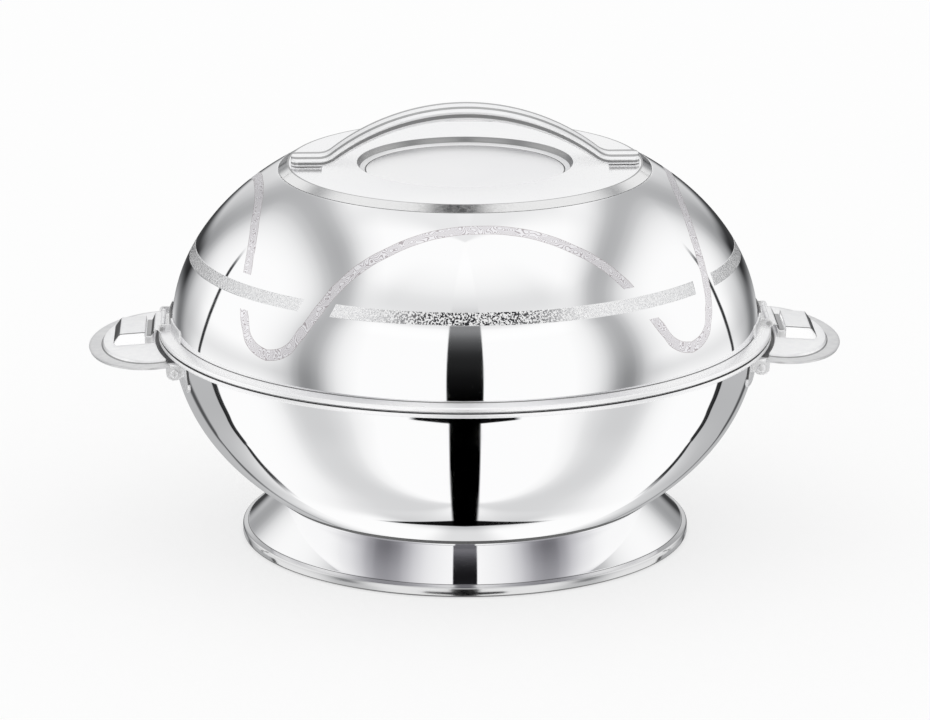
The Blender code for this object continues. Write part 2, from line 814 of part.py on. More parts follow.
def prism_mesh(name, outline, low, high, shift=0.0):
    """Extrude a closed outline of (x, y) points from z = low to z = high."""
    work = bmesh.new()
    face = work.faces.new([work.verts.new((x, y + shift, low)) for x, y in outline])
    grown = bmesh.ops.extrude_face_region(work, geom=[face])
    moved = [item for item in grown["geom"] if isinstance(item, bmesh.types.BMVert)]
    bmesh.ops.translate(work, verts=moved, vec=(0.0, 0.0, high - low))
    return finish_mesh(name, work)


def side_handle(name, grip):
    """The half-oval grip plate: flange, raised middle, pad under the leaf, slots and ears."""
    item = add_object(name, plate_mesh(name), polished_steel(name + "_steel"), grip)
    thick = item.modifiers.new("thickness", "SOLIDIFY")
    thick.thickness = plate_thickness
    thick.offset = -1.0
    thick.use_even_offset = True

    def guide(suffix, mesh, operation):
        combine(item, add_object(name + suffix, mesh, None, grip), operation)

    pad = block_mesh(name + "_pad", (pad_start, -pad_half_width, -plate_thickness / 2),
                     (pad_end, pad_half_width, pad_height))
    guide("_pad", pad, "UNION")
    hollow = block_mesh(
        name + "_pad_hollow",
        (pad_start + plate_thickness, plate_thickness - pad_half_width, -plate_thickness - cut_overrun),
        (pad_end - plate_thickness, pad_half_width - plate_thickness, pad_height - plate_thickness))
    guide("_pad_hollow", hollow, "DIFFERENCE")
    for index, shift in enumerate((-stud_spacing / 2, stud_spacing / 2)):
        slot = prism_mesh(name + "_slot", slot_outline(), -plate_thickness - cut_overrun, cut_overrun, shift)
        guide("_slot_%d" % (index + 1), slot, "DIFFERENCE")
    for edge, sign in (("near", -1.0), ("far", 1.0)):
        arm, hole = arm_meshes(name + "_" + edge, sign)
        guide("_" + edge + "_arm", arm, "UNION")
        guide("_" + edge + "_arm_hole", hole, "DIFFERENCE")
    return item


def arm_meshes(name, sign):
    """A corner arm of the plate with its turned-down ear, and the hole for the rivet."""
    outer = ear_face()
    level = -step_height
    work = bmesh.new()
    side = [(outer - arm_width, level), (outer, level), (outer, level - ear_drop + plate_thickness),
            (outer - plate_thickness / 2, level - ear_drop), (outer - plate_thickness, level - ear_drop),
            (outer - plate_thickness, level - plate_thickness), (outer - arm_width, level - plate_thickness)]
    rings = []
    for x in (-arm_reach(), arm_overlap - arm_reach()):
        rings.append([work.verts.new((x, sign * y, z)) for y, z in side])
    skin_rings(work, rings)
    arm = finish_mesh(name + "_arm", work)
    place, height = rivet_in_grip()
    radius = rivet_radius + joint_gap
    outline = [(place + x, height + z) for x, z in disc_points(radius, small_round_steps)]
    ends = sorted((sign * (outer - plate_thickness - wing_gap / 2), sign * (outer + cut_overrun)))
    hole = pressed_mesh(name + "_arm_hole", outline, ends[0], ends[1])
    return arm, hole


def ear_face():
    """How far the outer face of a plate's ear is from the middle plane."""
    end = edge_angle(plate_length, plate_half_width)
    return plate_half_width * math.sin(end) - joint_gap


def arm_reach():
    """How far an arm reaches in from the grip's root, just short of the bracket's band."""
    inside = ear_face() - arm_width
    return grip_root - math.sqrt(bracket_radius ** 2 - inside ** 2) - joint_gap


def rivet_spot():
    """The rivet's place beside the bowl and its height, in the middle of the plate's ear."""
    return grip_root - arm_reach() + rivet_inset, grip_height - step_height - ear_drop / 2


def rivet_in_grip():
    """The rivet's place in the tilted frame of a side handle."""
    place, height = rivet_spot()
    x = place - grip_root
    z = height - grip_height
    return (x * math.cos(grip_droop) - z * math.sin(grip_droop),
            x * math.sin(grip_droop) + z * math.cos(grip_droop))


def bowl_bracket(name, side):
    """The band welded under the rim, with two legs down the wall and two wings for the handle."""
    thick = bowl_bracket_thickness
    outer = ear_face() - plate_thickness - wing_gap
    half = math.asin((ear_face() + plate_thickness) / bracket_radius)
    leg_angle = leg_width / bracket_radius

    def wall(low, high):
        face = bowl_side(-bracket_gap - thick, low, high, 2)
        return bowl_side(-bracket_gap, low, high, 2) + face[::-1]

    def band_at(share):
        return wall(band_bottom, band_top)

    def leg_at(share):
        low = leg_bottom + round_end(share, leg_width, leg_width / 2) * leg_round / leg_width * 2
        return wall(low, band_bottom + thick)

    work = bmesh.new()
    turned_arc(work, band_at, -half, half, bracket_shares)
    turn = Matrix.Rotation(0.0 if side > 0 else math.pi, 4, "Z")
    mesh = finish_mesh(name, work)
    mesh.transform(turn)
    item = add_object(name, mesh, polished_steel(name + "_steel"))
    place, height = rivet_spot()
    for edge, sign in (("near", -1.0), ("far", 1.0)):
        work = bmesh.new()
        ends = sorted((sign * half, sign * (half - leg_angle)))
        turned_arc(work, leg_at, ends[0], ends[1], leg_shares)
        leg = finish_mesh(name + "_" + edge + "_leg", work)
        root = bracket_radius - thick / 2
        start = math.sqrt(root ** 2 - outer ** 2)
        sides = sorted((sign * outer, sign * (outer - thick)))
        tip = place + wing_margin
        low = 2 * height - wing_top
        wing_side = [(start, low), (tip - thick, low), (tip, low + thick), (tip, wing_top), (start, wing_top)]
        wing = pressed_mesh(name + "_" + edge + "_wing", wing_side, sides[0], sides[1])
        radius = rivet_radius + joint_gap
        outline = [(place + x, height + z) for x, z in disc_points(radius, small_round_steps)]
        hole = pressed_mesh(name + "_" + edge + "_hole", outline, sides[0] - thick, sides[1] + thick)
        for mesh_part, operation in ((leg, "UNION"), (wing, "UNION"), (hole, "DIFFERENCE")):
            mesh_part.transform(turn)
            guide = add_object(mesh_part.name, mesh_part, None)
            combine(item, guide, operation)
    return item


def handle_rivet(name, side, sign):
    """A rivet that holds one ear of a side handle to the wing of its bracket."""
    outer = ear_face() + joint_gap
    inner = ear_face() - plate_thickness - wing_gap - bowl_bracket_thickness - joint_gap
    head = rivet_head_height
    head_radius = rivet_radius + rivet_head_overlap
    outline = [
        (0.0, inner - head), (head_radius, inner - head), (head_radius, inner), (rivet_radius, inner),
        (rivet_radius, outer), (head_radius, outer), (head_radius - head / 2, outer + head * 0.7),
        (0.0, outer + head)]
    mesh = turned_mesh(name, outline, small_round_steps)
    mesh.transform(Matrix.Rotation(-sign * math.pi / 2, 4, "X"))
    place, height = rivet_spot()
    add_object(name, mesh, plain_steel(name + "_steel"), None, (side * place, 0.0, height))


def catch_slider(name, grip):
    """The sliding catch: roof, sloping thumb face, side cheeks and a floor above the plate."""
    low = joint_gap
    top = catch_height
    slope = (catch_end - catch_roof_end) / (top - low)
    shell = [(catch_start, low), (catch_end, low), (catch_roof_end, top), (catch_start, top)]
    item = add_object(
        name, pressed_mesh(name, shell, -catch_half_width, catch_half_width),
        polished_steel(name + "_steel"), grip)
    side_shift = sheet * math.hypot(1.0, slope)
    floor = low + sheet
    roof = top - sheet
    cavity = [
        (catch_start - cut_overrun, low - cut_overrun), (catch_floor_start, low - cut_overrun),
        (catch_floor_start, floor), (catch_end - slope * sheet - side_shift, floor),
        (catch_roof_end + slope * sheet - side_shift, roof), (catch_start - cut_overrun, roof)]
    width = catch_half_width - sheet
    inside = add_object(name + "_inside", pressed_mesh(name + "_inside", cavity, -width, width), None, grip)
    combine(item, inside, "DIFFERENCE")
    for index, shift in enumerate((-stud_spacing / 2, stud_spacing / 2)):
        ring = disc_points(stud_radius + joint_gap, small_round_steps)
        outline = [(stud_place + x, y) for x, y in ring]
        hole = prism_mesh(name + "_hole", outline, low - cut_overrun, floor + joint_gap, shift)
        guide = add_object(name + "_hole_%d" % (index + 1), hole, None, grip)
        combine(item, guide, "DIFFERENCE")


def catch_stud(name, grip, shift):
    """A stud that holds the catch down: head on its floor, washer under the plate."""
    head_low = joint_gap + sheet + joint_gap
    washer_top = -plate_thickness - joint_gap
    head = stud_radius + stud_head_overlap
    washer = stud_radius + stud_washer_overlap
    head_top = head_low + stud_head_height
    outline = [
        (0.0, head_top), (head - stud_head_height / 2, head_top), (head, head_low), (stud_radius, head_low),
        (stud_radius, washer_top), (washer, washer_top), (washer, washer_top - stud_head_height),
        (0.0, washer_top - stud_head_height)]
    mesh = turned_mesh(name, outline, small_round_steps)
    add_object(name, mesh, plain_steel(name + "_steel"), grip, (stud_place, shift, 0.0))


def build():
    """Make every sub-part of the casserole."""
    clear_scene()
    lid = frame_at("lid_hinge_axis", (pin_distance, 0.0, pin_height))
    bowl_outer_shell()
    bowl_inner_liner()
    bowl_insulation()
    foot_ring()
    base_filler_plug()
    lid_outer_shell(lid)
    lid_inner_liner(lid)
    lid_insulation(lid)
    lid_top_disc(lid)
    lid_handle(lid)
    for word, side in (("left", -1), ("right", 1)):
        on_lid = lid if side < 0 else None
        turn = 0.0 if side > 0 else math.pi
        grip = frame_at(word + "_grip", (side * grip_root, 0.0, grip_height), (0.0, grip_droop, turn))
        lid_bracket(word + "_lid_bracket", side, lid)
        pin(word + "_hinge_pin", on_lid, side)
        latch_leaf(word + "_latch_leaf", side, on_lid)
        side_handle(word + "_side_handle", grip)
        bowl_bracket(word + "_handle_bracket", side)
        catch_slider(word + "_catch", grip)
        for end, sign in (("front", -1), ("back", 1)):
            handle_rivet(word + "_" + end + "_rivet", side, sign)
            catch_stud(word + "_" + end + "_stud", grip, side * sign * stud_spacing / 2)
    bpy.context.view_layer.update()


build()
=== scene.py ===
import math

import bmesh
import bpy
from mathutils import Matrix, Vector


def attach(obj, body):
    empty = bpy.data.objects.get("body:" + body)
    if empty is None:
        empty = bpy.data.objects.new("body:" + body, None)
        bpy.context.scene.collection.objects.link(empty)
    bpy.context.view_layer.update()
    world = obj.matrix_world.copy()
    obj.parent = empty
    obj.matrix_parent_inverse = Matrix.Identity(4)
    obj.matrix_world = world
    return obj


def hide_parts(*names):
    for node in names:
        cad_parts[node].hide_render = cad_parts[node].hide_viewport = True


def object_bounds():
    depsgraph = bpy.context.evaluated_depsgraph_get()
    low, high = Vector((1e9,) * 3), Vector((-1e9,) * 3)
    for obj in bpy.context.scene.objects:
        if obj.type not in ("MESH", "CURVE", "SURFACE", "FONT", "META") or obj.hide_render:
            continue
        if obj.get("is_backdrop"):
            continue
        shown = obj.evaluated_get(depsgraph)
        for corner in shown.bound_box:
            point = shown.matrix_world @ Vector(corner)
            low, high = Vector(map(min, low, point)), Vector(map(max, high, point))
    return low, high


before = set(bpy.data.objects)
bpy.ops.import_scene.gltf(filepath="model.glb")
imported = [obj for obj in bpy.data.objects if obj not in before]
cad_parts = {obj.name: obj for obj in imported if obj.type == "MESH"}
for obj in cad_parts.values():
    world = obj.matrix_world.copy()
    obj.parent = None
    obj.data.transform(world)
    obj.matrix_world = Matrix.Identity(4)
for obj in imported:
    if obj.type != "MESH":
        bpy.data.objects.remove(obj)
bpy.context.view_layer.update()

# %% [markdown]
# # An insulated chapati casserole in polished steel
#
# The object is a round serving dish that keeps flat breads warm: a double-walled bowl on a flared foot,
# a double-walled domed lid, a hinged leaf at each side of the lid and a sliding catch on each side
# handle. Every part that can be seen is stainless steel, so the picture is made of reflections, and the
# studio matters as much as the shapes do.
#
# The CAD model is already loaded by the lines above. It is right in size, but it is drawn with few faces,
# and a mirror shows every facet. So every piece is built again here, with the same sizes and rounder
# edges, and each one takes the place of its CAD solid.

mm = 0.001

# %% [markdown]
# ## The camera
#
# The photograph is taken from far away with a long lens: the front and back of the rim have almost the
# same width. A camera two metres off and 16 degrees above the horizon gives the same ovals. It stands
# two degrees to the left of the middle, which is where the dark reflection down the front comes from.

# %% Set up the camera
camera_distance = 2067.0 * mm
camera_height = 666.0 * mm
camera_turn = math.radians(-2.0)
camera_pitch = math.radians(15.92)

picture_width = 930.0
focal_length = 4938.0  # in pixels of a picture of that width
film_width = 36.0

lens = bpy.data.cameras.new("product_lens")
lens.sensor_width = film_width
lens.lens = focal_length / picture_width * film_width
camera = bpy.data.objects.new("product_camera", lens)
camera.location = (
    camera_distance * math.sin(camera_turn), -camera_distance * math.cos(camera_turn), camera_height)
camera.rotation_euler = (math.pi / 2 - camera_pitch, 0.0, camera_turn)
bpy.context.scene.collection.objects.link(camera)
bpy.context.scene.camera = camera
bpy.context.scene.view_settings.view_transform = "Standard"
print("lens in mm:", round(lens.lens, 1))

# %% [markdown]
# ## Short words for nodes
#
# Materials and the world are node trees. Linking nodes one by one in code soon hides what they do, so
# this small class gives each common step one short word: calc is a Math node, ease a smooth change
# between two values, band a soft stripe, and curve a smooth line through points.

# %% A bench for building node trees
class NodeBench:
    def __init__(self, tree):
        self.tree = tree
        tree.nodes.clear()

    def add(self, kind, **settings):
        node = self.tree.nodes.new(kind)
        for key, value in settings.items():
            setattr(node, key, value)
        return node

    def feed(self, socket, value):
        if isinstance(value, bpy.types.NodeSocket):
            self.tree.links.new(value, socket)
        else:
            socket.default_value = value

    def calc(self, operation, *values):
        node = self.add("ShaderNodeMath", operation=operation)
        for socket, value in zip(node.inputs, values):
            self.feed(socket, value)
        return node.outputs[0]

    def ease(self, value, start, end, low=0.0, high=1.0):
        node = self.add("ShaderNodeMapRange", interpolation_type="SMOOTHSTEP")
        for socket, item in zip(node.inputs, (value, start, end, low, high)):
            self.feed(socket, item)
        return node.outputs[0]

    def band(self, value, middle, half, soft):
        away = self.calc("ABSOLUTE", self.calc("SUBTRACT", value, middle))
        return self.ease(away, half - soft / 2, half + soft / 2, 1.0, 0.0)

    def curve(self, value, points, span, reach):
        """A smooth line through (value, result) points; span and reach are the two ranges."""
        share = self.calc("DIVIDE", self.calc("SUBTRACT", value, span[0]), span[1] - span[0])
        node = self.add("ShaderNodeFloatCurve")
        node.mapping.extend = "HORIZONTAL"
        line = node.mapping.curves[0]
        spots = [((x - span[0]) / (span[1] - span[0]), (y - reach[0]) / (reach[1] - reach[0]))
                 for x, y in points]
        for x, y in spots[1:-1]:
            line.points.new(x, y)
        line.points[0].location = spots[0]
        line.points[len(line.points) - 1].location = spots[-1]
        node.mapping.update()
        self.feed(node.inputs["Value"], share)
        return self.calc("ADD", self.calc("MULTIPLY", node.outputs[0], reach[1] - reach[0]), reach[0])

    def shade(self, brightness, mask, depth):
        """Darken a brightness by a depth wherever a mask is one."""
        amount = self.calc("MULTIPLY", mask, depth)
        return self.calc("MULTIPLY", brightness, self.calc("SUBTRACT", 1.0, amount))

    def all_of(self, *masks):
        result = masks[0]
        for mask in masks[1:]:
            result = self.calc("MULTIPLY", result, mask)
        return result

    def mix_colour(self, share, first, second):
        node = self.add("ShaderNodeMix", data_type="RGBA")
        for socket, value in zip((node.inputs[0], node.inputs[6], node.inputs[7]), (share, first, second)):
            self.feed(socket, value)
        return node.outputs[2]

    def noise(self, vector, scale, detail=2.0, rough=0.5):
        node = self.add("ShaderNodeTexNoise")
        self.feed(node.inputs["Vector"], vector)
        node.inputs["Scale"].default_value = scale
        node.inputs["Detail"].default_value = detail
        node.inputs["Roughness"].default_value = rough
        return node.outputs["Fac"]


print("bench ready")

# %% [markdown]
# ## The studio
#
# The reflections in the photograph are those of a light tent: white cloth all round, with a narrow open
# gap at the front where the camera looks in, a soft seam to the left and right that bends back over the
# top, and the thin dark frame of the tent behind. Two ways to build it come to mind: real cloth panels, or a
# world that is painted by direction. The world is chosen, because a reflection depends almost only on
# its direction, and a change is one number. Directions are given as a turn to the side, zero towards the
# camera, and a height above the horizon, both in degrees.
#
# Only mirror rays see the seams. The camera and the floor see plain white light of strength 1, so a
# colour renders as it is written.
#
# A ray that has met two mirrors, such as the foot and then the bowl, sees a softer tent. The value
# called twice is one for such a ray: its seams stand wider apart and its gap is less black.

# %% Set out the directions of the tent
world = bpy.data.worlds.new("light_tent")
bpy.context.scene.world = world
world.use_nodes = True
world.cycles.sampling_method = "NONE"
tent = NodeBench(world.node_tree)

direction = tent.add("ShaderNodeSeparateXYZ")
tent.feed(direction.inputs[0], tent.add("ShaderNodeTexCoord").outputs["Generated"])
to_right, to_back, upward = direction.outputs
degrees = 180.0 / math.pi
turn = tent.calc("MULTIPLY", tent.calc("ARCTAN2", to_right, tent.calc("MULTIPLY", to_back, -1.0)), degrees)
height = tent.calc("MULTIPLY", tent.calc("ARCSINE", upward), degrees)
aside = tent.calc("ABSOLUTE", tent.calc("ADD", turn, 1.0))
rays = tent.add("ShaderNodeLightPath")
twice = tent.calc("GREATER_THAN", rays.outputs["Glossy Depth"], 1.5)
once = tent.calc("SUBTRACT", 1.0, twice)
spread_out = tent.calc("MAXIMUM", aside, tent.calc("ADD", tent.calc("MULTIPLY", aside, 0.52), 38.5))
aside = tent.calc("ADD", tent.calc("MULTIPLY", twice, tent.calc("SUBTRACT", spread_out, aside)), aside)
above = tent.ease(height, -17.6, -16.8)
below = tent.calc("SUBTRACT", 1.0, above)

cloth = tent.add("ShaderNodeValue")
cloth.outputs[0].default_value = 1.0
brightness = cloth.outputs[0]
print("tent directions ready")

# %% [markdown]
# The walls of the tent are bright panels. Their seams stand upright at 64 degrees to each side, bend
# over at the top and come down again far behind, so each side panel has a soft dark border like an
# arch. Below the horizon the same happens upside down. Both borders are one idea: a distance to a
# rounded outline, and a soft profile across it. The distance is positive outside the panel. The upper
# arch leans towards the front near its top. The lower one fades out behind the object, where the cloth
# meets the floor, and the floor right behind the object is a little grey.

# %% Hang the side panels
def panel_border(middle, half, spring, rise, power, sharper, skew=0.0):
    """Distance to an arch: two upright legs up to the height spring, then a rounded top."""
    over = tent.calc("MAXIMUM", tent.calc("DIVIDE", tent.calc("SUBTRACT", height, spring), rise), 0.0)
    leaning = tent.calc("SUBTRACT", middle, tent.calc("MULTIPLY", tent.calc("MINIMUM", over, 1.0), skew))
    out = tent.calc("DIVIDE", tent.calc("ABSOLUTE", tent.calc("SUBTRACT", aside, leaning)), half)
    both = tent.calc("ADD", tent.calc("POWER", out, power), tent.calc("POWER", over, power))
    size = tent.calc("POWER", both, tent.calc("DIVIDE", 1.0, power))
    capped = tent.calc("MINIMUM", over, 1.0)
    scale = tent.calc("ADD", tent.calc("MULTIPLY", capped, sharper), half)
    return tent.calc("MULTIPLY", tent.calc("SUBTRACT", size, 1.0), scale), capped


top_rise = tent.ease(turn, -20.0, 20.0, 27.3, 23.6)
distance, over = panel_border(
    middle=108.0, half=43.5, spring=28.0, rise=top_rise, power=2.05, sharper=-18.0, skew=8.0)
outside = tent.calc("MULTIPLY", tent.calc("MAXIMUM", distance, 0.0), tent.calc("MULTIPLY", over, 0.7))
seam = tent.curve(
    tent.calc("ADD", distance, outside),
    [(-30, 0), (-20, 0.07), (-14, 0.20), (-9, 0.45), (-4, 0.84), (0, 1.0), (3, 0.94), (7, 0.68), (11, 0.36),
     (16, 0.12), (23, 0)], (-30.0, 23.0), (0.0, 1.0))
seam_depth = tent.curve(
    height, [(-20, 0.68), (-8, 0.67), (0, 0.62), (10, 0.55), (20, 0.51), (36, 0.48), (48, 0.48), (60, 0.54)],
    (-20.0, 60.0), (0.0, 1.0))
seam_depth = tent.calc("ADD", seam_depth, tent.calc("MULTIPLY", twice, 0.12))
brightness = tent.shade(brightness, tent.all_of(seam, above), seam_depth)

seam_aside = 64.5
low_middle = tent.calc("SUBTRACT", 125.0, tent.calc("MULTIPLY", twice, 10.0))
low_rise = tent.calc("SUBTRACT", tent.calc("MULTIPLY", twice, 11.0), 49.5)
low_distance, low_over = panel_border(
    middle=low_middle, half=tent.calc("SUBTRACT", low_middle, seam_aside), spring=-27.0, rise=low_rise,
    power=2.0, sharper=-24.0)
low_outside = tent.calc(
    "MULTIPLY", tent.calc("MAXIMUM", low_distance, 0.0), tent.calc("MULTIPLY", low_over, 0.7))
low_seam = tent.curve(
    tent.calc("ADD", low_distance, low_outside),
    [(-30, 0), (-22, 0.08), (-16, 0.28), (-12, 0.58), (-8, 0.84), (-3, 1.0), (4, 1.0), (9, 0.88),
     (14.5, 0.64), (20, 0.26), (28, 0)], (-30.0, 28.0), (0.0, 1.0))
low_depth = tent.ease(height, -50.0, -32.0, 0.27, 0.31)
low_depth = tent.calc("ADD", low_depth, tent.calc("MULTIPLY", twice, 0.30))
past_sill = tent.all_of(tent.ease(aside, 146.0, 158.0), tent.ease(height, -64.0, -58.0))
fainter = tent.all_of(tent.calc("SUBTRACT", 1.0, past_sill), tent.ease(aside, 135.0, 165.0, 1.0, 0.3))
low_depth = tent.calc("MULTIPLY", low_depth, tent.calc("MAXIMUM", twice, fainter))
brightness = tent.shade(brightness, tent.all_of(low_seam, below), low_depth)
floor_behind = tent.all_of(
    tent.ease(aside, 140.0, 160.0), tent.ease(height, -86.0, -65.0),
    tent.ease(height, -67.0, -61.0, 1.0, 0.0), once)
brightness = tent.shade(brightness, floor_behind, 0.22)
print("side panels hung")

# %% [markdown]
# The roof of the tent is a little greyer than its walls, most of all just above the front panels, and so
# is everything far behind the object. A dark backdrop shows low down at the very back; it is what gives
# the dome its dark outline left and right.

# %% Add the roof, the back and the dark backdrop
roof = tent.curve(
    height,
    [(28, 0), (36, 0), (39, 0.13), (44, 0.15), (50, 0.19), (55, 0.17), (60, 0.11), (65, 0.06), (78, 0)],
    (28.0, 78.0), (0.0, 1.0))
brightness = tent.shade(brightness, roof, tent.ease(aside, 40.0, 68.0, 1.0, 0.0))

low_wall = tent.all_of(tent.band(height, -8.0, 5.0, 12.0), tent.ease(aside, 66.0, 80.0), above)
brightness = tent.shade(brightness, low_wall, 0.16)
high_back = tent.all_of(tent.ease(aside, 118.0, 150.0), tent.ease(height, 50.0, 62.0))
brightness = tent.shade(brightness, high_back, 0.14)
far_back = tent.all_of(
    tent.ease(aside, 154.0, 166.0), tent.ease(height, -2.0, 8.0), tent.ease(height, 35.0, 60.0, 1.0, 0.0))
brightness = tent.shade(brightness, far_back, 0.08)

backdrop_line = tent.calc("ADD", tent.calc("MULTIPLY", tent.calc("SUBTRACT", aside, 152.0), -0.40), -1.5)
backdrop = tent.all_of(
    tent.band(tent.calc("SUBTRACT", height, backdrop_line), 0.0, 4.5, 6.0), tent.ease(aside, 148.0, 155.0))
brightness = tent.shade(brightness, backdrop, 0.90)
print("roof and back added")

# %% [markdown]
# The thin frame of the tent shows as a dark curved line far to each side, and past it the cloth is
# grey. The lines that the dome and the bowl show don't meet, because they are different rods, so each
# has its own curve. The upper rod is one curve of turn against height.

# %% Add the upper rod of the frame
upper_line = tent.curve(
    height, [(-20, 133), (-14, 128), (-6, 123), (2, 121), (10, 121.5), (18, 125), (25, 129.5), (34, 141)],
    (-20.0, 34.0), (110.0, 150.0))
off_upper = tent.calc("SUBTRACT", aside, upper_line)
upper_rod = tent.all_of(
    tent.band(off_upper, 0.0, 1.0, 0.8), tent.ease(height, 19.0, 26.5, 1.0, 0.0), above, once)
brightness = tent.shade(brightness, upper_rod, 0.95)
past_upper = tent.all_of(
    tent.ease(off_upper, 0.0, 14.0), above, tent.ease(height, -2.0, 16.0, 1.0, 0.0))
brightness = tent.shade(brightness, past_upper, 0.20)
print("upper rod added")

# %% [markdown]
# The two lower rods come down steeply, bend, and then run level over the floor. One curve can't hold
# both parts, so each rod is two curves, one of turn against height and one of height against turn, and
# the darker of the two counts. Left and right differ by a few degrees, which the side shift gives.

# %% Add the two lower rods
side_shift = tent.ease(turn, -20.0, 20.0, -1.0, 1.0)


def bent_rod(by_height, by_aside, aside_shift, height_shift, widths):
    """The rod as a mask, and all that is past it; widths are half and soft of each part."""
    moved_aside = tent.calc("SUBTRACT", aside, tent.calc("MULTIPLY", side_shift, aside_shift))
    moved_height = tent.calc("SUBTRACT", height, tent.calc("MULTIPLY", side_shift, height_shift))
    heights, asides = [h for h, _ in by_height], [a for a, _ in by_aside]
    down = tent.calc("SUBTRACT", moved_aside, tent.curve(
        moved_height, by_height, (heights[0], heights[-1]), (110.0, 170.0)))
    level = tent.calc("SUBTRACT", moved_height, tent.curve(
        moved_aside, by_aside, (asides[0], asides[-1]), (-50.0, -15.0)))
    steep_part = tent.all_of(tent.band(down, 0.0, widths[0], widths[1]),
                             tent.ease(moved_height, heights[0] - 0.5, heights[0] + 0.5))
    level_part = tent.all_of(tent.band(level, 0.0, widths[2], widths[3]),
                             tent.ease(moved_aside, asides[0] - 0.5, asides[0] + 0.5))
    past = tent.all_of(tent.ease(down, 0.0, 1.0), tent.ease(level, 0.0, 1.0))
    return tent.calc("MAXIMUM", steep_part, level_part), past


once_low = tent.all_of(below, once)
near_rod, past_near = bent_rod(
    [(-38.0, 127.5), (-36, 126), (-33, 124.3), (-31, 122.8), (-29, 121.2), (-25, 120), (-18, 119)],
    [(125.5, -35.0), (127.5, -38), (130, -39.6), (134, -41.3), (138, -42.6), (142, -43.4), (148, -43.7),
     (156, -43.0)], 0.6, 0.9, (2.1, 1.0, 1.1, 0.7))
near_rod = tent.all_of(near_rod, once_low, tent.ease(aside, 141.0, 156.0, 1.0, 0.0))
brightness = tent.shade(brightness, near_rod, 0.96)
far_rod, _ = bent_rod(
    [(-28.5, 155.5), (-27, 153.8), (-24, 152), (-20, 152.2), (-16, 154)],
    [(153.0, -26.2), (155.5, -28.4), (158, -29.9), (160.5, -30.7), (163, -31.0), (166, -30.9), (171, -30.6)],
    4.0, 2.0, (3.2, 4.2, 1.0, 1.9))
far_rod = tent.all_of(far_rod, once_low, tent.ease(aside, 158.0, 172.0, 1.0, 0.35))
brightness = tent.shade(brightness, far_rod, 0.80)
past_height = tent.calc("SUBTRACT", height, tent.ease(aside, 156.0, 166.0, 0.0, 5.0))
past_depth = tent.curve(
    past_height, [(-50, 0.02), (-46, 0.06), (-43, 0.18), (-40, 0.30), (-37, 0.38), (-33, 0.44), (-20, 0.46)],
    (-50.0, -20.0), (0.0, 1.0))
brightness = tent.shade(brightness, tent.all_of(past_near, once_low), past_depth)
print("lower rods added")

# %% [markdown]
# The gap at the front is the strongest mark in the picture: a black stripe down the lid, the bowl and
# the foot. It fades out high above the horizon, runs down to the floor under the object and on to just
# behind it, where a narrow sill closes it off; a lintel crosses it below the horizon. On the floor it
# hardly narrows, so it is measured straight across and not as an angle.

# %% Open the gap at the front
gap_turn = math.radians(-2.0)
across = tent.calc(
    "ABSOLUTE", tent.calc("ADD", tent.calc("MULTIPLY", to_right, math.cos(gap_turn)),
                          tent.calc("MULTIPLY", to_back, math.sin(gap_turn))))
forward = tent.calc(
    "SUBTRACT", tent.calc("MULTIPLY", to_right, math.sin(gap_turn)),
    tent.calc("MULTIPLY", to_back, math.cos(gap_turn)))
level_reach = tent.calc("SQRT", tent.calc("SUBTRACT", 1.0, tent.calc("MULTIPLY", upward, upward)))
gap_share, floor_share, floor_taper, gap_blur = 0.122, 0.0510, 0.053, 0.005
sill_place, sill_bow, sill_width, sill_taper = 0.345, 3.2, 0.056, 0.24
wall_half = tent.calc("MULTIPLY", tent.calc("MULTIPLY", level_reach, gap_share), above)
widening = tent.calc("MULTIPLY", forward, floor_taper)
floor_half = tent.calc("MULTIPLY", tent.calc("ADD", widening, floor_share), below)
gap_half = tent.calc("ADD", wall_half, floor_half)
inside_gap = tent.ease(tent.calc("SUBTRACT", across, gap_half), -gap_blur, gap_blur, 1.0, 0.0)
gap = tent.all_of(inside_gap, tent.ease(forward, -0.40, -0.38))
bowed = tent.calc("MULTIPLY", tent.calc("MULTIPLY", across, across), sill_bow)
sill_line = tent.calc("ABSOLUTE", tent.calc("ADD", tent.calc("ADD", forward, sill_place), bowed))
narrowing = tent.calc("MULTIPLY", across, sill_taper)
sill_half = tent.calc("MAXIMUM", tent.calc("SUBTRACT", sill_width, narrowing), 0.0)
sill = tent.all_of(
    tent.ease(tent.calc("SUBTRACT", sill_line, sill_half), -0.008, 0.008, 1.0, 0.0),
    tent.ease(across, 0.15, 0.22, 1.0, 0.0), tent.ease(height, -40.0, -50.0))
brightness = tent.shade(brightness, sill, 0.99)
past_gap = tent.all_of(
    tent.ease(across, 0.02, 0.08, 1.0, 0.0), tent.ease(forward, -0.42, -0.38, 1.0, 0.0), below)
brightness = tent.shade(brightness, past_gap, 0.22)
lintel_line = tent.calc("ADD", tent.calc("MULTIPLY", across, 9.0), -24.6)
lintel = tent.all_of(
    tent.ease(tent.calc("SUBTRACT", height, lintel_line), -0.3, 0.3), below,
    tent.ease(across, 0.30, 0.36, 1.0, 0.0), tent.ease(forward, 0.0, 0.1))
brightness = tent.shade(brightness, lintel, 0.995)
print("gap, sill and lintel placed")

# %% [markdown]
# High up the gap fades into the roof of the tent, and a ray that has met two mirrors sees it greyer.

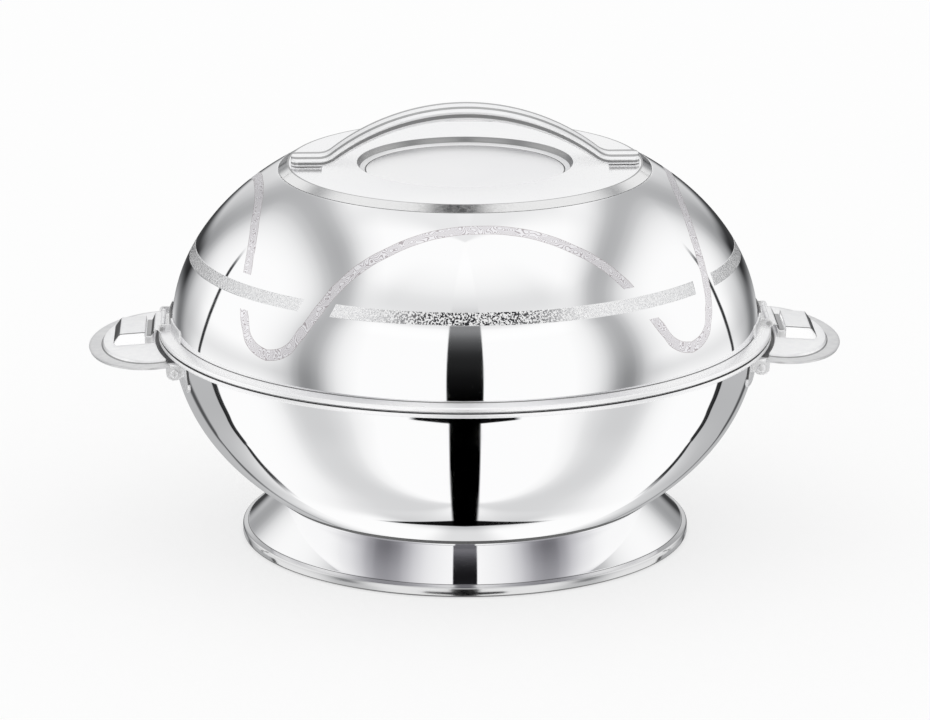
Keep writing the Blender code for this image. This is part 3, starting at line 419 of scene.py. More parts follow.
# %% Fade the gap
gap_depth = tent.curve(
    height, [(-90, 1), (0, 0.993), (10, 0.983), (20, 0.967), (25, 0.93), (30, 0.87), (35, 0.75), (41, 0.62),
             (46, 0.30), (50, 0.08), (56, 0), (90, 0)], (-90.0, 90.0), (0.0, 1.0))
softer = tent.curve(
    height, [(-14, 0.22), (-10.7, 0.20), (-8.3, 0.15), (-5.7, 0.09), (-3.3, 0.056), (0.9, 0.02),
             (7, 0), (16, -0.008)], (-14.0, 16.0), (-0.02, 0.25))
gap_depth = tent.calc("SUBTRACT", gap_depth, tent.calc("MULTIPLY", twice, softer))
brightness = tent.shade(brightness, gap, gap_depth)
print("gap opened")

# %% [markdown]
# White cloth in shade is a little cold, so the darker a spot of the tent is, the more of a faint blue
# grey it takes. Only glossy rays get this picture, and all other rays get plain white.

# %% Show the tent to mirror rays alone
shade_tint = tent.mix_colour(twice, (0.30, 0.34, 0.42, 1.0), (0.38, 0.34, 0.62, 1.0))
cold = tent.mix_colour(brightness, shade_tint, (1.0, 1.0, 1.0, 1.0))
painted = tent.add("ShaderNodeVectorMath", operation="SCALE")
tent.feed(painted.inputs[0], tent.mix_colour(0.35, (1.0, 1.0, 1.0, 1.0), cold))
tent.feed(painted.inputs["Scale"], tent.calc("MULTIPLY", brightness, 1.02))
seen = tent.mix_colour(rays.outputs["Is Glossy Ray"], (1.0, 1.0, 1.0, 1.0), painted.outputs[0])
sky = tent.add("ShaderNodeBackground")
tent.feed(sky.inputs["Color"], seen)
tent.feed(tent.add("ShaderNodeOutputWorld").inputs["Surface"], sky.outputs[0])
print("world nodes:", len(world.node_tree.nodes))

# %% [markdown]
# ## The floor
#
# A wide white sheet. The photograph has a pure white ground, so for the camera the sheet also glows a
# little; what is left of its own shading keeps a soft shadow round the foot. Mirror rays pass through
# it, because the tent's lower half, with the gap on the floor, is painted in the world.

# %% Lay the floor
floor_mesh = bpy.data.meshes.new("studio_floor")
floor_reach = 4.0
floor_corners = [(a * floor_reach, b * floor_reach, 0.0) for a, b in ((-1, -1), (1, -1), (1, 1), (-1, 1))]
floor_mesh.from_pydata(floor_corners, [], [(0, 1, 2, 3)])
floor = bpy.data.objects.new("studio_floor", floor_mesh)
bpy.context.scene.collection.objects.link(floor)
floor.visible_glossy = False
floor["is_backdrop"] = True

floor_paper = bpy.data.materials.new("floor_paper")
floor_paper.use_nodes = True
paper = NodeBench(floor_paper.node_tree)
paper_rays = paper.add("ShaderNodeLightPath")
matt = paper.add("ShaderNodeBsdfDiffuse")
matt.inputs["Color"].default_value = (0.96, 0.96, 0.96, 1.0)
glow = paper.add("ShaderNodeEmission")
lift = paper.add("ShaderNodeMixShader")
paper.feed(lift.inputs[0], paper.calc("MULTIPLY", paper_rays.outputs["Is Camera Ray"], 0.6))
paper.feed(lift.inputs[1], matt.outputs[0])
paper.feed(lift.inputs[2], glow.outputs[0])
paper.feed(paper.add("ShaderNodeOutputMaterial").inputs["Surface"], lift.outputs[0])
floor_mesh.materials.append(floor_paper)
print("floor laid")

# %% [markdown]
# ## Steel
#
# Polished stainless steel is a metal with almost no colour and almost no roughness. What makes it look
# real is what is not perfect: the sheet is a little wavy from the press, there are faint wipe marks, and
# the edges are slightly duller. The waves are a very weak bump a few centimetres wide; the wipe marks
# change only the roughness. All sizes are in the object's own coordinates, so they stay put when the
# camera or a joint moves.
#
# Most of the small pieces are satin, with fine lines from a belt or a lathe. Some of them are less than
# fully metallic: that share scatters the white light of the studio, and gives the pale, almost paper-like
# tone that satin steel has in a light tent, whichever way it faces.

# %% Polished and satin steel
def polished_steel(name, tone=0.955, dull=0.02, waves=0.012):
    """A mirror finish: waves is the height of the press marks in mm."""
    made = bpy.data.materials.new(name)
    made.use_nodes = True
    bench = NodeBench(made.node_tree)
    place = bench.add("ShaderNodeTexCoord").outputs["Object"]
    metal = bench.add("ShaderNodeBsdfPrincipled")
    metal.inputs["Base Color"].default_value = (tone, tone, tone * 1.004, 1.0)
    metal.inputs["Metallic"].default_value = 1.0
    wipes = bench.noise(place, 55.0, 4.0, 0.6)
    bench.feed(metal.inputs["Roughness"], bench.ease(wipes, 0.35, 0.75, dull, dull + 0.035))
    press = bench.noise(place, 26.0, 1.0, 0.3)
    bump = bench.add("ShaderNodeBump")
    bump.inputs["Strength"].default_value = 1.0
    bump.inputs["Distance"].default_value = waves * mm
    bench.feed(bump.inputs["Height"], press)
    bench.feed(metal.inputs["Normal"], bump.outputs[0])
    bench.feed(bench.add("ShaderNodeOutputMaterial").inputs["Surface"], metal.outputs[0])
    return made


def satin_steel(name, tone=0.80, dull=0.24, grain=(30.0, 30.0, 1400.0), streak=0.14, metallic=1.0):
    """A brushed finish: fine lines along the two axes with the low grain numbers."""
    made = bpy.data.materials.new(name)
    made.use_nodes = True
    bench = NodeBench(made.node_tree)
    place = bench.add("ShaderNodeTexCoord").outputs["Object"]
    stretch = bench.add("ShaderNodeMapping")
    stretch.inputs["Scale"].default_value = grain
    bench.feed(stretch.inputs["Vector"], place)
    lines = bench.noise(stretch.outputs[0], 1.0, 3.0, 0.6)
    metal = bench.add("ShaderNodeBsdfPrincipled")
    metal.inputs["Metallic"].default_value = metallic
    dark = tone * (1.0 - streak)
    darker = (dark, dark, dark * 1.01, 1.0)
    bench.feed(metal.inputs["Base Color"],
               bench.mix_colour(bench.ease(lines, 0.3, 0.7), darker, (tone, tone, tone, 1.0)))
    bench.feed(metal.inputs["Roughness"], bench.ease(lines, 0.3, 0.7, dull + 0.08, dull))
    bump = bench.add("ShaderNodeBump")
    bump.inputs["Strength"].default_value = 1.0
    bump.inputs["Distance"].default_value = 0.01 * mm
    bench.feed(bump.inputs["Height"], lines)
    bench.feed(metal.inputs["Normal"], bump.outputs[0])
    bench.feed(bench.add("ShaderNodeOutputMaterial").inputs["Surface"], metal.outputs[0])
    return made


round_lines = (20.0, 20.0, 900.0)
long_lines = (6.0, 6.0, 900.0)
bowl_steel = polished_steel("bowl_steel")
cap_steel = satin_steel("cap_steel", tone=0.97, dull=0.10, grain=round_lines, streak=0.02, metallic=0.7)
# Painted shade for the dark ring in the joint between bowl and foot.
painted_joint_shade = satin_steel("painted_joint_shade", tone=0.10, dull=0.45, grain=(900.0, 900.0, 900.0))
rim_steel = satin_steel("rim_steel", tone=0.99, dull=0.26, grain=round_lines, streak=0.03, metallic=0.45)
# A softer painted shade, for the crease at the dome's foot and the two lines at the foot's bead.
painted_soft_shade = satin_steel("painted_soft_shade", tone=0.24, dull=0.35, grain=round_lines)
fitting_steel = satin_steel(
    "fitting_steel", tone=0.96, dull=0.32, grain=(500.0, 500.0, 500.0), streak=0.06, metallic=0.8)
# Dark painted shade, for joints, creases, gaps and faces that stand in shadow.
painted_shade_steel = satin_steel("painted_shade_steel", tone=0.15, dull=0.35, grain=(900.0, 900.0, 900.0))
hardware_steel = satin_steel("hardware_steel", tone=0.72, dull=0.30, grain=(400.0, 400.0, 400.0))
print("steels:", bowl_steel.name, cap_steel.name, rim_steel.name, fitting_steel.name)

# %% [markdown]
# ## Turned pieces
#
# Most of the object was spun or pressed round one axis, so it can be drawn as half a section and turned.
# A Screw modifier would do that, but a short function keeps the points on the axis single and lets the
# corners be rounded first. Real sheet has no sharp corner, and a rounded one catches a thin line of
# light that tells the eye where two faces meet. Each point of an outline is (radius, height, rounding).
#
# The last helper fits a piece in the scene. A piece can be left out of the reflections: the polished
# skins of the real casserole hardly show the fittings beside them, while a mirror as flawless as the
# one drawn here would repeat each of them as a dark mark.

# %% Round the corners of an outline and turn it
def rounded(points, closed=True, steps=5):
    """Replace each corner that has a rounding by a short arc; the third number is its radius."""
    count = len(points)
    line = []
    for index, point in enumerate(points):
        here = Vector(point[:2])
        radius = point[2] if len(point) > 2 else 0.0
        inner = closed or 0 < index < count - 1
        if radius <= 0.0 or not inner:
            line.append(here)
            continue
        back = Vector(points[index - 1][:2]) - here
        on = Vector(points[(index + 1) % count][:2]) - here
        angle = back.angle(on)
        if angle > math.radians(178.0):
            line.append(here)
            continue
        room = 0.49 * min(back.length, on.length)
        cut = min(radius / math.tan(angle / 2), room)
        radius = cut * math.tan(angle / 2)
        middle = here + (back.normalized() + on.normalized()).normalized() * radius / math.sin(angle / 2)
        first = here + back.normalized() * cut - middle
        last = here + on.normalized() * cut - middle
        for step in range(steps + 1):
            share = step / steps
            sweep = first.lerp(last, share)
            sweep = first.slerp(last, share) if first.length > 0 else sweep
            line.append(middle + sweep.normalized() * radius)
    return [(point.x, point.y) for point in line]


def finished(name, work, sharp=30.0):
    """Turn a bmesh into a smooth mesh that keeps its hard edges."""
    bmesh.ops.recalc_face_normals(work, faces=work.faces)
    mesh = bpy.data.meshes.new(name)
    work.to_mesh(mesh)
    work.free()
    mesh.shade_smooth()
    mesh.set_sharp_from_angle(angle=math.radians(sharp))
    return mesh


def turned(name, outline, steps=288, sharp=30.0):
    """Turn a closed outline of (radius, height) points in mm once round Z."""
    work = bmesh.new()
    rings = []
    for radius, height in outline:
        if radius < 1e-6:
            rings.append([work.verts.new((0.0, 0.0, height * mm))])
            continue
        ring = []
        for step in range(steps):
            angle = math.tau * step / steps
            ring.append(work.verts.new(
                (radius * mm * math.cos(angle), radius * mm * math.sin(angle), height * mm)))
        rings.append(ring)
    for ring, after in zip(rings, rings[1:] + rings[:1]):
        if len(ring) == 1 and len(after) == 1:
            continue
        for step in range(steps):
            following = (step + 1) % steps
            corners = [ring[step % len(ring)], ring[following % len(ring)],
                       after[following % len(after)], after[step % len(after)]]
            work.faces.new(list(dict.fromkeys(corners)))
    return finished(name, work, sharp)


def oval_side(radius, depth, middle, start, end, steps):
    """Points on the side of an upright oval from one height to another."""
    low = math.asin(max(-1.0, min(1.0, (start - middle) / depth)))
    high = math.asin(max(-1.0, min(1.0, (end - middle) / depth)))
    return [(radius * math.cos(low + (high - low) * step / steps),
             middle + depth * math.sin(low + (high - low) * step / steps)) for step in range(steps + 1)]


def fit(name, mesh, finish, body, nodes, mirrored=True):
    """Put a mesh with its finishes in the scene, on its body, in place of its CAD solids."""
    piece = bpy.data.objects.new(name, mesh)
    bpy.context.scene.collection.objects.link(piece)
    for one in finish:
        mesh.materials.append(one)
    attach(piece, body)
    if nodes:
        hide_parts(*nodes)
    piece.visible_glossy = mirrored
    return piece


def finish_for(*choices):
    """The number of the first finish whose condition holds; without one it is 0, the piece's main one."""
    return next((number for here, number in choices if here), 0)


print("a rounded square has", len(rounded([(0, 0, 1), (5, 0, 1), (5, 5, 1), (0, 5, 1)])), "points")

# %% [markdown]
# ## The bowl
#
# The outer wall is drawn from one sheet 0.8 mm thick. Its side is a quarter of an oval, cut off low down
# where it meets the flat base. It is turned with 288 steps so that the black stripe keeps a clean edge.

# %% Bowl: outer wall
sheet = 0.8
joint_gap = 0.3
body_radius = 126.9
rim_radius = 132.8
rim_plane = 91.3
bowl_widest = 89.5
bowl_depth = 91.74
bowl_bottom = 19.3
bowl_top = 90.2
fill_hole_radius = 6.0
base_radius = 81.9
base_bend = 1.4

outer_wall = oval_side(body_radius, bowl_depth, bowl_widest, bowl_bottom + 1.0, bowl_top, 90)
inner_wall = oval_side(body_radius - sheet, bowl_depth - sheet, bowl_widest, bowl_bottom + 1.9, bowl_top, 60)
outline = [(fill_hole_radius, bowl_bottom, 0.0), (base_radius, bowl_bottom, base_bend)]
outline += [(r, z, 0.0) for r, z in outer_wall]
outline += [(r, z, 0.0) for r, z in inner_wall[::-1]]
outline += [(base_radius - 1.3, bowl_bottom + sheet, base_bend), (fill_hole_radius, bowl_bottom + sheet, 0.0)]
bowl_mesh = turned("bowl_wall", rounded(outline))
bowl_wall = fit("bowl_wall", bowl_mesh, [bowl_steel], "base", ["bowl_outer_shell"])
print("bowl wall faces:", len(bowl_wall.data.polygons))

# %% [markdown]
# The inner bowl is deep and nearly flat-bottomed, a rounded square in section. Its edge is turned out
# over the wall and folded down in a small bead. Nothing of its inside shows in the photograph; such
# bowls have a satin inside with fine spun rings, so that is what it gets. The rim is a paler satin, with
# a dark line at its top edge, where the lid's ledge throws the joint into shade.

# %% Bowl: liner and rim bead
mouth_radius = 113.6
inside_depth = 62.0
squareness = 2.6
bead_bottom = 89.2


def inside_curve(outset, steps=56):
    """The inside of the bowl from the middle of its floor up to the rim."""
    points = []
    for step in range(steps + 1):
        angle = math.pi / 2 * (1 - step / steps)
        out = math.cos(angle) ** (2 / squareness) if step else 0.0
        down = math.sin(angle) ** (2 / squareness) if step < steps else 0.0
        points.append(((mouth_radius + outset) * out, rim_plane - (inside_depth + outset) * down, 0.0))
    return points


outline = inside_curve(0.0)[:-1]
outline += [(mouth_radius, rim_plane, 1.3), (rim_radius, rim_plane, 0.9), (rim_radius, bead_bottom, 0.45),
            (rim_radius - sheet, bead_bottom + 0.2, 0.2), (rim_radius - sheet, rim_plane - sheet, 0.3),
            (mouth_radius + sheet, rim_plane - sheet, 0.6)]
outline += inside_curve(sheet)[-2::-1]
liner_mesh = turned("bowl_liner", rounded(outline))
inside_steel = satin_steel("inside_steel", tone=0.90, dull=0.18, grain=long_lines, metallic=0.75)
# Faces at the rim's top edge, in the joint under the lid's ledge, get dark painted shade.
for face in liner_mesh.polygons:
    middle = face.center
    out = math.hypot(middle.x, middle.y) / mm
    outside = out > mouth_radius - 0.6 and middle.z > (bead_bottom - 0.3) * mm
    in_gap = out > rim_radius - 0.9 and middle.z > (rim_plane - 0.3) * mm
    face.material_index = finish_for((in_gap, 2), (outside, 1))
bowl_liner = fit("bowl_liner", liner_mesh, [inside_steel, rim_steel, painted_shade_steel], "base",
                 ["bowl_inner_liner"], mirrored=False)
print("liner faces:", len(liner_mesh.polygons))

# %% [markdown]
# The foot is a flared skirt with a rolled bead. It is polished like the bowl and leans outwards, so it
# mirrors the bowl's underside above it and the floor below. The bead is greyer than the skirt, and two
# thin dark lines of painted shade mark its upper edge and the edge it stands on.

# %% Foot ring
foot_top = 19.0
foot_radius = 97.4
foot_neck = 80.9
flange_radius = 68.0
bead_top = 4.2
bead_inside = 93.0
skirt_end = foot_radius - 2.5
foot_outline = [
    (flange_radius, foot_top, 0.3), (foot_neck, foot_top, 1.0), (skirt_end, bead_top + 1.0, 1.6),
    (foot_radius, bead_top, 1.2), (foot_radius, 0.5, 1.3), (foot_radius - 1.5, 0.0, 0.5),
    (bead_inside + 1.3, 0.0, 0.5), (bead_inside, 1.0, 0.8), (bead_inside, bead_top - 1.0, 0.6),
    (foot_neck - 1.0, foot_top - 1.4, 0.8), (flange_radius, foot_top - sheet, 0.3)]
foot_mesh = turned("foot_skirt", rounded(foot_outline, steps=6))
bead_steel = polished_steel("bead_steel", tone=0.74, dull=0.10)
for face in foot_mesh.polygons:
    out = math.hypot(face.center.x, face.center.y) / mm
    level = face.center.z / mm
    on_bead = level < bead_top + 0.7
    in_line = skirt_end < out < skirt_end + 0.7 and bead_top + 0.3 < level < bead_top + 1.2
    low_edge = out > foot_radius - 1.4 and level < 1.15
    face.material_index = finish_for((in_line or low_edge, 2), (on_bead, 1))
foot = fit("foot_skirt", foot_mesh, [bowl_steel, bead_steel, painted_soft_shade], "base", ["foot_ring"],
           mirrored=False)
print("foot faces:", len(foot.data.polygons))

# %% [markdown]
# Where the foot meets the bowl runs a thin dark line, painted shade in the joint. It could be a few dark
# faces of the bowl, but the foot is a mirror and would show that line a second time. So it is a small dark
# ring of its own, which the mirrors leave out.
#
# In the middle of the base sits the plastic plug that closes the hole through which the foam was filled
# in. It can't be seen in the photograph.

# %% Painted joint shade and filler plug
joint_shade_outline = [(84.9, 21.05), (84.25, 20.6), (83.2, 19.8), (82.0, 18.95), (81.3, 18.65), (80.6, 18.9),
                (81.6, 19.7), (83.6, 20.95)]
fit("joint_shade_ring", turned("joint_shade_ring", joint_shade_outline), [painted_joint_shade], "base", [], mirrored=False)

plug_outline = [(0.0, 20.1), (5.7, 20.1, 0.2), (5.7, 19.0), (8.5, 19.0, 0.3), (8.3, 18.3, 0.4),
                (6.0, 18.0, 0.3), (2.4, 18.0, 0.2), (2.2, 18.5, 0.2), (0.0, 18.5)]
plug_plastic = bpy.data.materials.new("plug_plastic")
plug_plastic.use_nodes = True
bench = NodeBench(plug_plastic.node_tree)
resin = bench.add("ShaderNodeBsdfPrincipled")
speck = bench.noise(bench.add("ShaderNodeTexCoord").outputs["Object"], 900.0, 3.0)
bench.feed(resin.inputs["Base Color"], bench.mix_colour(speck, (0.05, 0.05, 0.055, 1), (0.10, 0.10, 0.11, 1)))
bench.feed(resin.inputs["Roughness"], bench.ease(speck, 0.3, 0.7, 0.45, 0.6))
bench.feed(bench.add("ShaderNodeOutputMaterial").inputs["Surface"], resin.outputs[0])
plug = fit("filler_plug", turned("filler_plug", rounded(plug_outline), 48), [plug_plastic], "base",
           ["base_filler_plug"])
print("plug faces:", len(plug.data.polygons))

# %% [markdown]
# The walls are filled with foam. It never shows, but it is a piece of the model like any other. The CAD
# solid could be kept and painted; its few flat faces would cut through the thin round skins drawn here,
# though, and yellow patches would show in the open bowl. So the foam is turned from the same curves as
# the skins, with a small gap to both.

# %% Foam in the walls
foam = bpy.data.materials.new("wall_foam")
foam.use_nodes = True
bench = NodeBench(foam.node_tree)
cells = bench.noise(bench.add("ShaderNodeTexCoord").outputs["Object"], 500.0, 4.0)
body = bench.add("ShaderNodeBsdfPrincipled")
bench.feed(body.inputs["Base Color"], bench.mix_colour(cells, (0.78, 0.66, 0.36, 1), (0.92, 0.85, 0.62, 1)))
body.inputs["Roughness"].default_value = 0.95
bench.feed(bench.add("ShaderNodeOutputMaterial").inputs["Surface"], body.outputs[0])

foam_gap = 0.2
foam_steps = 144
foam_floor = bowl_bottom + sheet + 0.3
outer_side = oval_side(body_radius - sheet - foam_gap, bowl_depth - sheet - foam_gap, bowl_widest, 21.7,
                       bowl_top - 0.5, 60)
inner_side = [point for point in inside_curve(sheet + foam_gap) if point[1] < bowl_top - 0.5]
outline = [(0.0, foam_floor), (80.0, foam_floor)] + outer_side + inner_side[::-1]
bowl_foam_mesh = turned("bowl_foam", [point[:2] for point in outline], foam_steps)
bowl_foam = fit("bowl_foam", bowl_foam_mesh, [foam], "base", ["bowl_insulation"])
print("bowl foam faces:", len(bowl_foam.data.polygons))

# %% [markdown]
# ## The lid
#
# A dome of the same width as the bowl. Low down it turns out in a narrow ledge with a rounded edge, and
# at the top it is cut off by a flat ledge that carries the cap. The etched ornament is part of its skin,
# and it is made next, in the material.

# %% Lid: outer dome
lid_plane = 91.7
ledge_edge = 93.6
shoulder = 94.3
dome_height = 88.7
dome_top_radius = 80.8
cap_seat_radius = 66.0
crease_radius = 127.1
dome_top = shoulder + dome_height * math.sqrt(1 - (dome_top_radius / body_radius) ** 2)

outer_dome = oval_side(body_radius, dome_height, shoulder, shoulder + 0.3, dome_top, 112)
inner_dome = oval_side(body_radius - sheet, dome_height - sheet, shoulder, shoulder + 0.9, dome_top - 1.1, 60)
outline = [(rim_radius - sheet, lid_plane, 0.2), (rim_radius, lid_plane, 0.45), (rim_radius, ledge_edge, 0.9),
           (crease_radius, shoulder, 0.3)]
outline += [(r, z, 0.0) for r, z in outer_dome[:-1]]
outline += [(dome_top_radius, dome_top, 0.08), (dome_top_radius - sheet, dome_top - 0.3, 0.1),
            (cap_seat_radius, dome_top - 0.3, 0.2), (cap_seat_radius, dome_top - 1.1, 0.2)]
outline += [(r, z, 0.0) for r, z in inner_dome[::-1]]
outline += [(crease_radius - sheet, shoulder - sheet, 0.4), (rim_radius - 1.2, ledge_edge - sheet, 0.2),
            (rim_radius - sheet, lid_plane + sheet, 0.1)]
dome_mesh = turned("lid_dome", rounded(outline), 320)
print("dome faces:", len(dome_mesh.polygons), "top at mm", round(dome_top, 2))

# %% [markdown]
# ### The etched ornament
#
# Two laser-etched bands lie on the dome: a level belt with a coarse grain, and a wave with fine contour
# lines that swings over and under the belt four times round. Where one passes over, the other stops
# short. They could be thin strips of mesh, but a real etching is part of the skin, so the material draws
# them. For each point it works out the turn round the axis and the height; the wave is a curve of height
# against turn, and the distance to it, divided by the steepness, gives a band of even width.

# %% Etched dome material
belt_height = 127.4
belt_half = 2.75
wave_half = 2.35
wave_turn = 2.0
wave_points = [(0, 157.6), (8, 156.9), (16, 154.2), (23, 149.2), (28, 143.4), (32, 135.2), (35, 125.6),
               (38, 115.4), (41, 108.2), (45, 105.6)]

dome_steel = bpy.data.materials.new("dome_steel")
dome_steel.use_nodes = True
skin = NodeBench(dome_steel.node_tree)
place = skin.add("ShaderNodeTexCoord").outputs["Object"]
parts = skin.add("ShaderNodeSeparateXYZ")
skin.feed(parts.inputs[0], place)
x, y, z = parts.outputs
turn = skin.calc("MULTIPLY", skin.calc("ARCTAN2", x, skin.calc("MULTIPLY", y, -1.0)), degrees)
high = skin.calc("DIVIDE", z, mm)
radius = skin.calc("DIVIDE", skin.calc("SQRT", skin.calc(
    "ADD", skin.calc("MULTIPLY", x, x), skin.calc("MULTIPLY", y, y))), mm)

# One wave is 90 degrees wide, from trough to trough; fold it on its crest.
lap = skin.calc("SUBTRACT", skin.calc("WRAP", turn, 45.0 + wave_turn, -45.0 + wave_turn), wave_turn)
fold = skin.calc("ABSOLUTE", lap)
step_side = 0.5
line_here = skin.curve(fold, wave_points, (0.0, 45.0), (100.0, 160.0))
line_on = skin.curve(skin.calc("ADD", fold, step_side), wave_points, (0.0, 45.0), (100.0, 160.0))
steep = skin.calc("DIVIDE", skin.calc("SUBTRACT", line_here, line_on),
                  skin.calc("MULTIPLY", radius, math.radians(step_side)))
lean = skin.calc("DIVIDE", skin.calc("SUBTRACT", high, shoulder), dome_height)
climb = skin.calc("SQRT", skin.calc("SUBTRACT", 1.0, skin.calc("MULTIPLY", lean, lean)))
run = skin.calc("MULTIPLY", lean, body_radius / dome_height)
slope = skin.calc("DIVIDE", climb, skin.calc("SQRT", skin.calc(
    "ADD", skin.calc("MULTIPLY", run, run), skin.calc("MULTIPLY", climb, climb))))
spread = skin.calc("SQRT", skin.calc("ADD", skin.calc("MULTIPLY", slope, slope),
                                     skin.calc("MULTIPLY", steep, steep)))
off_wave = skin.calc("DIVIDE", skin.calc("ABSOLUTE", skin.calc("SUBTRACT", high, line_here)), spread)
off_belt = skin.calc("DIVIDE", skin.calc("ABSOLUTE", skin.calc("SUBTRACT", high, belt_height)), slope)
print("wave and belt distances ready")

# %% [markdown]
# On the rising side of each wave the wave is on top and the belt has a gap; on the falling side it is
# the other way round. The gaps end on a slant, so the mask of each gap leans with the height.

# %% Weave the two bands
rising = skin.ease(lap, -0.5, 0.5, 1.0, 0.0)
near_belt = skin.ease(off_belt, 7.2, 7.4, 1.0, 0.0)
wave = skin.ease(off_wave, wave_half - 0.12, wave_half + 0.12, 1.0, 0.0)
wave = skin.calc("MULTIPLY", wave, skin.calc("SUBTRACT", 1.0, skin.calc(
    "MULTIPLY", near_belt, skin.calc("SUBTRACT", 1.0, rising))))
leaning = skin.calc("ADD", lap, skin.calc("MULTIPLY", skin.calc("SUBTRACT", high, belt_height), -0.16))
gap_here = skin.band(leaning, -35.4, 3.9, 0.15)
belt = skin.ease(off_belt, belt_half - 0.12, belt_half + 0.12, 1.0, 0.0)
belt = skin.calc("MULTIPLY", belt, skin.calc("SUBTRACT", 1.0, gap_here))
outside_only = skin.ease(skin.calc("SUBTRACT", radius, skin.calc("MULTIPLY", climb, body_radius)), -0.5, -0.3)
belt = skin.calc("MULTIPLY", belt, outside_only)
wave = skin.calc("MULTIPLY", wave, outside_only)
print("bands woven")

# %% [markdown]
# The belt is a coarse frost: bright spots with pits between them. At the middle of the front and back the
# pits look into the open gap of the tent and are nearly black, and to the sides they face white cloth
# and are pale, so their colour is a painted reflection that follows the distance from the middle. The
# wave has fine contour lines with a hint of warm grey and a thin darker edge. Both are rougher than the
# mirror round them.

# %% Grain of the bands
grain = skin.noise(place, 1250.0, 2.0, 0.6)
swirl = skin.noise(place, 150.0, 1.0, 0.4)
rings = skin.calc("PINGPONG", skin.calc("MULTIPLY", swirl, 27.0), 0.5)
contour = skin.ease(rings, 0.06, 0.26, 1.0, 0.0)
contour = skin.calc("MULTIPLY", contour, wave)
wave_edge = skin.band(off_wave, wave_half - 0.12, 0.10, 0.12)

clean = (0.955, 0.955, 0.959, 1.0)
wave_tone = skin.mix_colour(contour, (0.95, 0.94, 0.96, 1.0), (0.52, 0.48, 0.50, 1.0))
colour = skin.mix_colour(wave, clean, wave_tone)
colour = skin.mix_colour(skin.calc("MULTIPLY", wave_edge, wave), colour, (0.50, 0.46, 0.46, 1.0))
# The pits' colour is a painted reflection: nearly black at the front and back middle, pale to the sides.
middle_out = skin.ease(skin.calc("ABSOLUTE", x), 15.0 * mm, 50.0 * mm)
painted_pit_reflection = skin.mix_colour(middle_out, (0.03, 0.03, 0.035, 1.0), (0.90, 0.90, 0.91, 1.0))
belt_tone = skin.mix_colour(skin.ease(grain, 0.46, 0.53), painted_pit_reflection, (1.0, 1.0, 1.0, 1.0))
colour = skin.mix_colour(belt, colour, belt_tone)
print("grain ready")

# %% Finish of the dome
metal = skin.add("ShaderNodeBsdfPrincipled")
metal.inputs["Metallic"].default_value = 1.0
skin.feed(metal.inputs["Base Color"], colour)
wipes = skin.ease(skin.noise(place, 55.0, 4.0, 0.6), 0.35, 0.75, 0.02, 0.05)
rough = skin.calc("ADD", wipes, skin.calc("ADD", skin.calc("MULTIPLY", wave, 0.34),
                                          skin.calc("MULTIPLY", belt, 0.05)))
skin.feed(metal.inputs["Roughness"], rough)
press = skin.calc("MULTIPLY", skin.noise(place, 26.0, 1.0, 0.3), 0.012)
etched = skin.calc("MULTIPLY", skin.calc("MULTIPLY", grain, belt), 0.75)
bump = skin.add("ShaderNodeBump")
bump.inputs["Strength"].default_value = 1.0
bump.inputs["Distance"].default_value = mm
skin.feed(bump.inputs["Height"], skin.calc("ADD", press, etched))
skin.feed(metal.inputs["Normal"], bump.outputs[0])
skin.feed(skin.add("ShaderNodeOutputMaterial").inputs["Surface"], metal.outputs[0])
print("dome material nodes:", len(dome_steel.node_tree.nodes))

# %% [markdown]
# Only the dome itself is a mirror. The ledge and the flat top under the cap have the pale satin of the rim,
# and thin dark lines of painted shade mark the joint under the ledge and the crease where the dome meets it.

# %% Finishes of the dome's faces
for face in dome_mesh.polygons:
    out = math.hypot(face.center.x, face.center.y) / mm
    level = face.center.z / mm
    in_crease = 126.93 < out < 127.6 and level < 94.6
    in_gap = out > rim_radius - 0.9 and level < lid_plane + 0.32
    on_ledge = out > 127.4
    on_top = out < 80.9 and level > 162.3
    face.material_index = finish_for((in_crease, 3), (in_gap, 2), (on_ledge or on_top, 1))
fit("lid_dome", dome_mesh, [dome_steel, rim_steel, painted_shade_steel, painted_soft_shade], "lid", ["lid_outer_shell"])
print("dome fitted")

# %% [markdown]
# The liner closes the lid from below: a flange that lies under the ledge, a folded lip that drops into
# the bowl's mouth, and a low inner dome.

# %% Lid: liner
lip_radius = 112.8
lip_bottom = 88.2
liner_plane = 92.5
liner_radius = 111.6
liner_top = 152.55
liner_height = liner_top - liner_plane
flange_edge = 131.7
upper_face = oval_side(liner_radius, liner_height, liner_plane, liner_plane, liner_top, 60)
lower_face = oval_side(
    liner_radius - sheet, liner_height - sheet, liner_plane, liner_plane, liner_top - sheet, 60)
outline = [(liner_radius - sheet, lip_bottom, 0.7), (lip_radius, lip_bottom, 0.7),
           (lip_radius, lid_plane, 0.4), (flange_edge, lid_plane, 0.2), (flange_edge, liner_plane, 0.2)]
outline += [(r, z, 0.0) for r, z in upper_face[:-1]] + [(0.0, liner_top, 0.0)]
outline += [(0.0, liner_top - sheet, 0.0)] + [(r, z, 0.0) for r, z in lower_face[:-1]][::-1]
lid_liner = fit("lid_liner", turned("lid_liner", rounded(outline)), [inside_steel], "lid",
                ["lid_inner_liner"])
print("lid liner faces:", len(lid_liner.data.polygons))

# %% [markdown]
# The lid's foam fills the room between the liner and the dome, up to just under the cap, and is turned
# in the same way as the bowl's.

